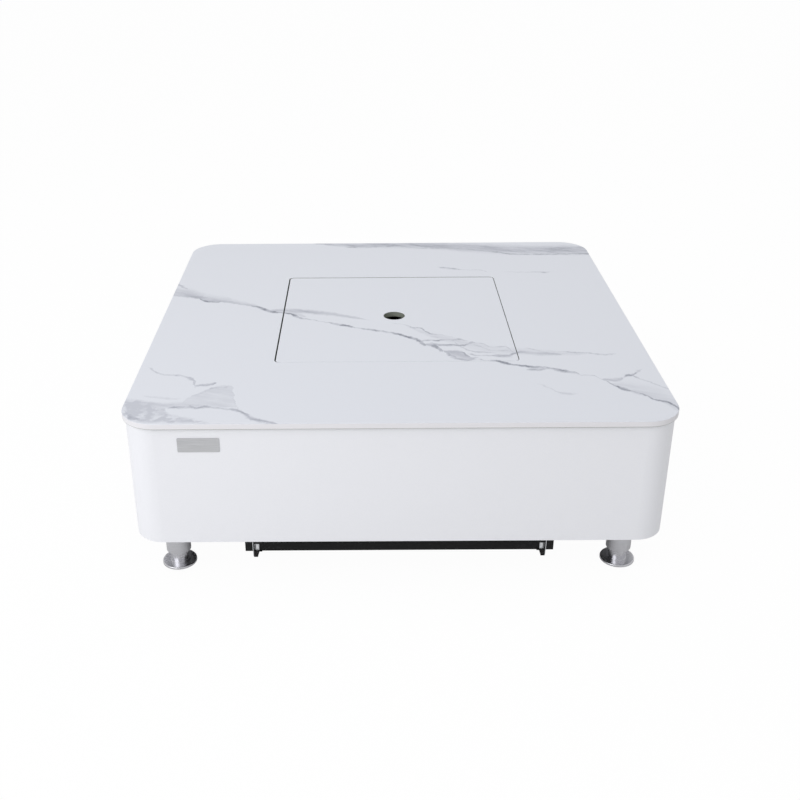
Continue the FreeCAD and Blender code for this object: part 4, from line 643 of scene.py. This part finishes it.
def loose_boxes(node):
    """Lowest and highest corners of each separate solid of a CAD node."""
    twin = bpy.data.objects.new(node + "_copy", NODES[node].data.copy())
    bpy.context.collection.objects.link(twin)
    select(twin)
    bpy.ops.object.mode_set(mode="EDIT")
    bpy.ops.mesh.select_all(action="SELECT")
    bpy.ops.mesh.remove_doubles(threshold=SAME_PLACE)
    bpy.ops.mesh.separate(type="LOOSE")
    bpy.ops.object.mode_set(mode="OBJECT")
    boxes = []
    for solid in list(bpy.context.selected_objects):
        sides = list(zip(*(vert.co for vert in solid.data.vertices)))
        boxes.append([Vector(end(side) for side in sides) for end in (min, max)])
        bpy.data.objects.remove(solid)
    return sorted(boxes, key=lambda box: [round(value, 5) for value in (*box[0], *box[1])])


def upright(edge):
    """True for an edge that stands on end."""
    step = edge.verts[0].co - edge.verts[1].co
    return abs(step.z) > 0.9 * step.length


def rim(edge, height):
    """True for an edge between the level face at this height and a side."""
    level = all(abs(vert.co.z - height) < SAME_PLACE for vert in edge.verts)
    return level and any(abs(face.normal.z) < 0.5 for face in edge.link_faces)


def stone_slab(material):
    """Square slab with round corners and the square opening over the fire."""
    look = bpy.context.scene.pit_stone
    side = SLAB_HIGH.x - SLAB_LOW.x
    thick = SLAB_HIGH.z - SLAB_LOW.z
    opening = LID_HIGH.x - LID_LOW.x + 2 * look.lid_gap
    slab = start("stone_slab", bpy.ops.mesh.primitive_plane_add, size=side, location=(0, 0, SLAB_LOW.z))
    bpy.ops.mesh.inset(thickness=(side - opening) / 2)
    bpy.ops.mesh.delete(type="FACE")
    bpy.ops.mesh.select_all(action="SELECT")
    pull(0, 0, thick)
    face_outwards()
    for corner, radius, segments in ((side / 2, look.corner, 28), (opening / 2, look.opening_corner, 8)):
        pick(slab, "edges", lambda edge: upright(edge) and abs(abs(edge.verts[0].co.x) - corner) < MM)
        round_over(radius, segments)
    pick(slab, "edges", lambda edge: rim(edge, SLAB_HIGH.z) or rim(edge, SLAB_LOW.z))
    round_over(look.arris, segments=3)
    close()
    settle(slab, "table", "stone_top", material, "top_slab")


def stone_lid(material):
    """Square lid over the burner, with a finger hole in its middle."""
    look = bpy.context.scene.pit_stone
    side = LID_HIGH.x - LID_LOW.x
    thick = LID_HIGH.z - LID_LOW.z
    middle = ((LID_LOW.x + LID_HIGH.x) / 2, (LID_LOW.y + LID_HIGH.y) / 2, LID_LOW.z)
    lid = start("stone_lid", bpy.ops.mesh.primitive_plane_add, size=side, location=middle)
    pull(0, 0, thick)
    face_outwards()
    pick(lid, "edges", upright)
    round_over(look.lid_corner, segments=8)
    close()
    drill = start("drill", bpy.ops.mesh.primitive_cylinder_add, vertices=96, radius=look.finger_hole,
                  depth=3 * thick, location=middle)
    close()
    carve(lid, drill)
    select(lid)
    bpy.ops.object.mode_set(mode="EDIT")
    pick(lid, "edges", lambda edge: rim(edge, LID_HIGH.z))
    round_over(look.lid_arris, segments=3)
    close()
    settle(lid, "lid", "stone_top", material, "burner_lid")


def levelling_foot(node, body, material):
    """Foot with a flat polished disc, a stem and a stud."""
    look = bpy.context.scene.pit_feet
    low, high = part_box(node)
    middle = (low + high) / 2
    radius = (high.x - low.x) / 2
    disc_top = low.z + look.disc
    foot = start(node.replace("foot", "levelling_foot"), bpy.ops.mesh.primitive_cylinder_add, vertices=96,
                 radius=radius, depth=look.disc, location=(middle.x, middle.y, low.z + look.disc / 2))
    pick(foot, "edges", lambda edge: rim(edge, disc_top))
    round_over(look.rim, segments=4)
    pick(foot, "faces", lambda face: face.normal.z > 0.999 and len(face.verts) > 4)
    bpy.ops.mesh.inset(thickness=radius - look.rim - look.stem)
    pull(0, 0, high.z - look.stud_length - disc_top)
    bpy.ops.mesh.inset(thickness=look.stem - look.stud)
    pull(0, 0, look.stud_length)
    pick(foot, "edges", lambda edge: rim(edge, disc_top))
    round_over(look.fillet, segments=8)
    pick(foot, "edges", lambda edge: rim(edge, high.z))
    round_over(look.stud_chamfer, segments=1)
    close()
    settle(foot, body, "polished_steel", material, node)


def rock_pattern(seed):
    """One rock, two units across, knocked out of round."""
    rock = start(f"rock_{seed}", bpy.ops.mesh.primitive_ico_sphere_add, subdivisions=2, radius=0.8)
    bpy.ops.transform.vertex_random(offset=0.22, uniform=0.3, seed=seed)
    bpy.ops.mesh.subdivide(number_cuts=1, smoothness=0.5, fractal=0.5, seed=seed)
    close()
    reach = [max(abs(vert.co[axis]) for vert in rock.data.vertices) for axis in range(3)]
    rock.scale = [1 / value for value in reach]
    select(rock)
    bpy.ops.object.transform_apply(location=False, rotation=False, scale=True)
    return rock


def rock_bed(material):
    """Lava rocks over the burner, each in the room of its CAD rock."""
    kinds = bpy.context.scene.pit_lava.kinds
    boxes = loose_boxes("lava_rocks")
    beds = []
    for kind in range(kinds):
        rock = rock_pattern(kind + 1)
        places = []
        for index, (low, high) in enumerate(boxes[kind::kinds]):
            turn = (math.pi * (index % 2), 0, math.pi * (index // 2 % 2))
            places.append(((low + high) / 2, turn, (high - low) / 2))
        beds.append(copies(rock, places))
    select(*beds)
    bpy.ops.object.join()
    beds[0].name = "lava_rock_bed"
    settle(beds[0], "table", "lava", material, "lava_rocks")


def rim_screws(material):
    """Pan head screws with cross recesses, round the control recess."""
    look = bpy.context.scene.pit_controls
    low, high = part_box("control_screws")
    head, dome = look.screw_head, look.screw_dome
    recess = (look.recess_length, look.recess_width, 2 * look.recess_depth)
    screw = start("rim_screws", bpy.ops.mesh.primitive_cylinder_add, vertices=32, radius=head, depth=dome,
                  location=(0, 0, dome / 2))
    pick(screw, "edges", lambda edge: all(vert.co.z > dome / 2 for vert in edge.verts))
    round_over(look.screw_round, segments=5)
    pick(screw, "faces", lambda face: face.normal.z < -0.9)
    bpy.ops.mesh.inset(thickness=head - look.screw_shank)
    pull(0, 0, -(high.y - low.y - dome))
    close()
    for turn in (0, math.pi / 2):
        blade = start("blade", bpy.ops.mesh.primitive_cube_add, size=1, location=(0, 0, dome),
                      rotation=(0, 0, turn), scale=recess)
        close()
        carve(screw, blade)
    places = [((x, high.y - dome, z), (-math.pi / 2, 0, 0), (1, 1, 1))
              for x in (low.x + head, high.x - head) for z in (low.z + head, high.z - head)]
    settle(copies(screw, places), "table", "slide_zinc", material, "control_screws")


def knob_pointer(material):
    """Painted line on the knob's grip that shows its setting."""
    look = bpy.context.scene.pit_controls
    low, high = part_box("control_knob")
    middle = (low + high) / 2
    pointer = start("knob_pointer", bpy.ops.mesh.primitive_cube_add, size=1,
                    location=(middle.x, high.y, middle.z + look.pointer_out),
                    scale=(look.pointer_width, look.pointer_thick, look.pointer_length))
    pick(pointer, "edges", lambda edge: abs(edge.verts[0].co.y - edge.verts[1].co.y) > SAME_PLACE)
    round_over(look.pointer_round, segments=4)
    close()
    settle(pointer, "knob", "white_skirt", material)


def ball_cages(material):
    """Cage strips between the slides' members, each with a row of balls."""
    look = bpy.context.scene.pit_controls
    boxes = loose_boxes("ball_cages")
    size = boxes[0][1] - boxes[0][0]
    web, corner = size.z * 0.3, size.x * 0.3
    count = int(size.y / look.ball_pitch)
    ball = start("ball_row", bpy.ops.mesh.primitive_ico_sphere_add, subdivisions=2, radius=size.z / 2,
                 location=(0, -(count - 1) / 2 * look.ball_pitch, 0))
    close()
    bpy.ops.object.modifier_add(type="ARRAY")
    row = ball.modifiers[-1]
    row.count = count
    row.use_relative_offset = False
    row.use_constant_offset = True
    row.constant_offset_displace = (0, look.ball_pitch, 0)
    bpy.ops.object.modifier_apply(modifier=row.name)
    strip = start("cage_strip", bpy.ops.mesh.primitive_cube_add, size=1, scale=(size.x, size.y, web))
    pick(strip, "edges", upright)
    round_over(corner, segments=4)
    close()
    select(strip, ball)
    bpy.ops.object.join()
    strip.name = "ball_cage_rows"
    cages = copies(strip, [((low + high) / 2, (0, 0, 0), (1, 1, 1)) for low, high in boxes])
    settle(cages, "slide_middles", "slide_zinc", material, "ball_cages")


def seen_share(tree, direct, mirrored):
    """Shares of a white that camera rays see, and mirror and glass rays, in place of the lit surface."""
    path = add(tree, "LightPath").outputs
    turned = add(tree, "Math", {0: path["Is Glossy Ray"], 1: path["Is Transmission Ray"]},
                 operation="MAXIMUM").outputs[0]
    turned = add(tree, "Math", {0: turned, 1: mirrored}, operation="MULTIPLY").outputs[0]
    return add(tree, "Math", {0: path["Is Camera Ray"], 1: direct, 2: turned},
               operation="MULTIPLY_ADD").outputs[0]


def pale_floor(look):
    """Wide floor that looks white and keeps a faint shadow."""
    floor = fresh("floor", bpy.ops.mesh.primitive_plane_add, size=look.floor_side,
                  location=(0, 0, CAD_BOX[0][2] - look.floor_room))
    material, tree, shader = new_material("white_backdrop_paper", roughness=0.9)
    shader.inputs["Base Color"].default_value = (*look.floor, 1)
    white = add(tree, "Emission", {"Color": (1, 1, 1, 1), "Strength": 1.0})
    share = seen_share(tree, look.floor_white, look.floor_mirrored)
    mixed = add(tree, "MixShader", {0: share, 1: shader.outputs[0], 2: white.outputs[0]})
    output = next(node for node in tree.nodes if node.type == "OUTPUT_MATERIAL")
    tree.links.new(mixed.outputs[0], output.inputs["Surface"])
    floor.data.materials.append(material)


def white_sky(look):
    """Even light from all round, seen as white."""
    world = bpy.data.worlds.new("white_studio")
    bpy.context.scene.world = world
    world.use_nodes = True
    tree = world.node_tree
    tree.nodes.clear()
    light = add(tree, "Background", {"Color": (1, 1, 1, 1), "Strength": look.sky})
    white = add(tree, "Background", {"Color": (1, 1, 1, 1), "Strength": 1.0})
    mixed = add(tree, "MixShader", {0: seen_share(tree, 1.0, 1.0), 1: light.outputs[0], 2: white.outputs[0]})
    add(tree, "OutputWorld", {"Surface": mixed.outputs[0]})


def soft_lamp(name, power, place, side):
    """Large square lamp that faces the table."""
    lamp = fresh(name, bpy.ops.object.light_add, type="AREA", location=place)
    lamp.data.energy = power
    lamp.data.size = side
    lamp.rotation_euler = (Vector(place) - Vector((0, 0, SLAB_LOW.z))).to_track_quat("Z", "Y").to_euler()


def photo_camera(look):
    """Camera at the photo's viewing angle."""
    camera = fresh("camera", bpy.ops.object.camera_add)
    camera.data.lens = look.lens
    camera.data.shift_x, camera.data.shift_y = look.shift
    aim = Matrix.Rotation(-look.yaw, 4, "Z") @ Matrix.Rotation(math.pi / 2 - look.pitch, 4, "X")
    camera.matrix_world = Matrix.Translation(look.place) @ aim @ Matrix.Rotation(-look.roll, 4, "Z")
    bpy.context.scene.camera = camera


class StoneTop(bpy.types.Operator):
    """Models the stone slab and its lid"""
    bl_idname = "firepit.stone_top"
    bl_label = "Stone top"

    def execute(self, context):
        material = printed_stone()
        stone_slab(material)
        stone_lid(material)
        return {"FINISHED"}


class Skirt(bpy.types.Operator):
    """Finishes the skirt round the body and its bare plate"""
    bl_idname = "firepit.skirt"
    bl_label = "Skirt"

    def execute(self, context):
        look, metal = context.scene.pit_coat, context.scene.pit_metal
        # Powder coat over sheet: an even soft white with faint orange peel that blurs its highlights.
        coat("white_skirt", "white_powder_coat", look.white, [look.peel / MM] * 3,
             roughness=0.42, mottle=0.015, gloss=0.03, height=0.012)
        # Brushed aluminium: fine level lines that streak its grey.
        coat("plate_silver", "brushed_aluminium", metal.aluminium, (40, 40, metal.brush / MM),
             roughness=0.38, metallic=1.0, mottle=0.18, gloss=0.08)
        return {"FINISHED"}


class Legs(bpy.types.Operator):
    """Finishes the sleeves, glides and bushes of the four legs, and models their feet"""
    bl_idname = "firepit.legs"
    bl_label = "Legs"

    def execute(self, context):
        look, metal = context.scene.pit_coat, context.scene.pit_metal
        # Satin stainless tube: lines brushed round it dull its reflections and draw them out upwards.
        coat("satin_steel", "satin_stainless_steel", metal.steel, (60, 60, metal.brush / MM),
             roughness=0.2, metallic=1.0, mottle=0.14, gloss=0.06, height=0.012)
        # Polished stainless: clear dark and light reflections, with slight hand marks.
        polished = grained("polished_stainless_steel", metal.steel, [14] * 3,
                           roughness=0.28, metallic=1.0, mottle=0.05, gloss=0.04)
        for end in ("front", "back"):
            for side in ("left", "right"):
                levelling_foot(f"foot_{end}_{side}", f"{end}_{side}_foot", polished)
        # Rubber: matt, with the fine dust that it holds.
        coat("glide_rubber", "black_rubber", look.plastic, [1.5] * 3,
             roughness=0.85, mottle=0.3, height=0.05)
        # Nylon: close moulded grain with a low shine.
        coat("bush_nylon", "moulded_nylon", look.plastic, [0.9] * 3, roughness=0.5, mottle=0.2, height=0.02)
        return {"FINISHED"}


class Frame(bpy.types.Operator):
    """Finishes the welded frame inside the skirt"""
    bl_idname = "firepit.frame"
    bl_label = "Frame"

    def execute(self, context):
        look = context.scene.pit_coat
        # Black powder coat: a fine rippled skin with a soft shine.
        coat("frame_black", "black_powder_coat", look.black, [look.peel / MM] * 3,
             roughness=0.48, mottle=0.2, height=0.02, shine=0.2)
        return {"FINISHED"}


class Burner(bpy.types.Operator):
    """Finishes the burner, its pan, its gas line and its probes"""
    bl_idname = "firepit.burner"
    bl_label = "Burner"

    def execute(self, context):
        metal = context.scene.pit_metal
        # Mill finish stainless sheet: dull, with long faint rolling lines.
        coat("pan_steel", "mill_stainless_steel", metal.steel, (90, metal.brush / MM, 6),
             roughness=0.4, metallic=1.0, mottle=0.16, gloss=0.06)
        # Turned brass: warm, with fine tool rings.
        coat("brass", "turned_brass", metal.brass, (5, metal.brush / MM, 5),
             roughness=0.3, metallic=1.0, mottle=0.22, gloss=0.07)
        # Drawn aluminium tube: soft grey, lines along its length.
        coat("pipe_aluminium", "drawn_aluminium", metal.aluminium, (2, 40, 2),
             roughness=0.36, metallic=1.0, mottle=0.15)
        # Glazed ceramic: off-white and glossy.
        coat("probe_ceramic", "glazed_ceramic", linear("E6E1D6"), [4] * 3, roughness=0.18, mottle=0.05)
        # Silicone pads: cloudy grey and dull.
        coat("soft_pad", "silicone_rubber", linear("C9C9C6"), [3] * 3, roughness=0.6, mottle=0.08)
        return {"FINISHED"}


class LavaRocks(bpy.types.Operator):
    """Models the lava rocks over the burner"""
    bl_idname = "firepit.lava_rocks"
    bl_label = "Lava rocks"

    def execute(self, context):
        rock_bed(lava_rock())
        return {"FINISHED"}


class Controls(bpy.types.Operator):
    """Finishes the knob and the igniter, and models their screws and the knob's pointer"""
    bl_idname = "firepit.controls"
    bl_label = "Controls"

    def execute(self, context):
        look, metal = context.scene.pit_coat, context.scene.pit_metal
        # Moulded ABS: spark-eroded grain with a low shine.
        coat("knob_black", "moulded_abs", look.plastic, [0.7] * 3, roughness=0.45, mottle=0.25, height=0.02)
        # Zinc plate: pale blue grey, with small patches where its crystals differ.
        zinc = coat("slide_zinc", "zinc_plated_steel", metal.zinc, [3] * 3,
                    roughness=0.36, metallic=1.0, mottle=0.2, gloss=0.08)
        rim_screws(zinc)
        # Pad-printed paint: flat white, a little uneven.
        knob_pointer(grained("pad_printed_paint", look.white, [0.6] * 3, roughness=0.6))
        return {"FINISHED"}


class LidTray(bpy.types.Operator):
    """Finishes the lid tray and its slides, and models their ball cages"""
    bl_idname = "firepit.lid_tray"
    bl_label = "Lid tray"

    def execute(self, context):
        look, metal = context.scene.pit_coat, context.scene.pit_metal
        # Black powder coat, fine textured: deep black that scatters its highlights.
        coat("tray_black", "fine_textured_powder_coat", look.black, [0.9] * 3,
             roughness=0.55, mottle=0.25, gloss=0.06, height=0.03, shine=0.15)
        # Moulded polypropylene: waxy black.
        coat("cap_black", "moulded_polypropylene", look.plastic, [1.2] * 3,
             roughness=0.42, mottle=0.2, height=0.02, shine=0.2)
        # Bright bearing steel: polished balls in a rolled strip.
        ball_cages(grained("bearing_steel", metal.steel, (2, 20, 2),
                           roughness=0.16, metallic=1.0, mottle=0.08))
        return {"FINISHED"}


class Stage(bpy.types.Operator):
    """Adds the floor, the lamps, the sky and the camera"""
    bl_idname = "firepit.stage"
    bl_label = "Stage"

    def execute(self, context):
        look = context.scene.pit_stage
        context.scene.view_settings.view_transform = "Standard"
        pale_floor(look)
        white_sky(look)
        soft_lamp("key_lamp", look.key, look.key_place, look.key_side)
        soft_lamp("top_lamp", look.top, look.top_place, look.top_side)
        photo_camera(look)
        return {"FINISHED"}


OPERATORS = (StoneTop, Skirt, Legs, Frame, Burner, LavaRocks, Controls, LidTray, Stage)
SETTINGS = {"pit_stone": StoneSettings, "pit_coat": CoatSettings, "pit_metal": MetalSettings,
            "pit_feet": FootSettings, "pit_lava": LavaSettings, "pit_controls": ControlSettings,
            "pit_stage": StageSettings}


class FirePitPanel(bpy.types.Panel):
    """Lists the table's pieces"""
    bl_idname = "VIEW3D_PT_fire_pit"
    bl_label = "Fire Pit"
    bl_space_type = "VIEW_3D"
    bl_region_type = "UI"
    bl_category = "Fire Pit"

    def draw(self, context):
        for operator in OPERATORS:
            self.layout.operator(operator.bl_idname)


def register():
    """Adds the settings, the operators and the panel."""
    for group in (*SETTINGS.values(), *OPERATORS, FirePitPanel):
        bpy.utils.register_class(group)
    for name, group in SETTINGS.items():
        setattr(bpy.types.Scene, name, PointerProperty(type=group))


def unregister():
    """Takes the settings, the operators and the panel away."""
    for name in SETTINGS:
        delattr(bpy.types.Scene, name)
    for group in (FirePitPanel, *reversed(OPERATORS), *SETTINGS.values()):
        bpy.utils.unregister_class(group)


def main():
    """Builds the table's looks."""
    register()
    bpy.ops.firepit.stone_top()
    bpy.ops.firepit.skirt()
    bpy.ops.firepit.legs()
    bpy.ops.firepit.frame()
    bpy.ops.firepit.burner()
    bpy.ops.firepit.lava_rocks()
    bpy.ops.firepit.controls()
    bpy.ops.firepit.lid_tray()
    bpy.ops.firepit.stage()


if __name__ == "__main__":
    main()
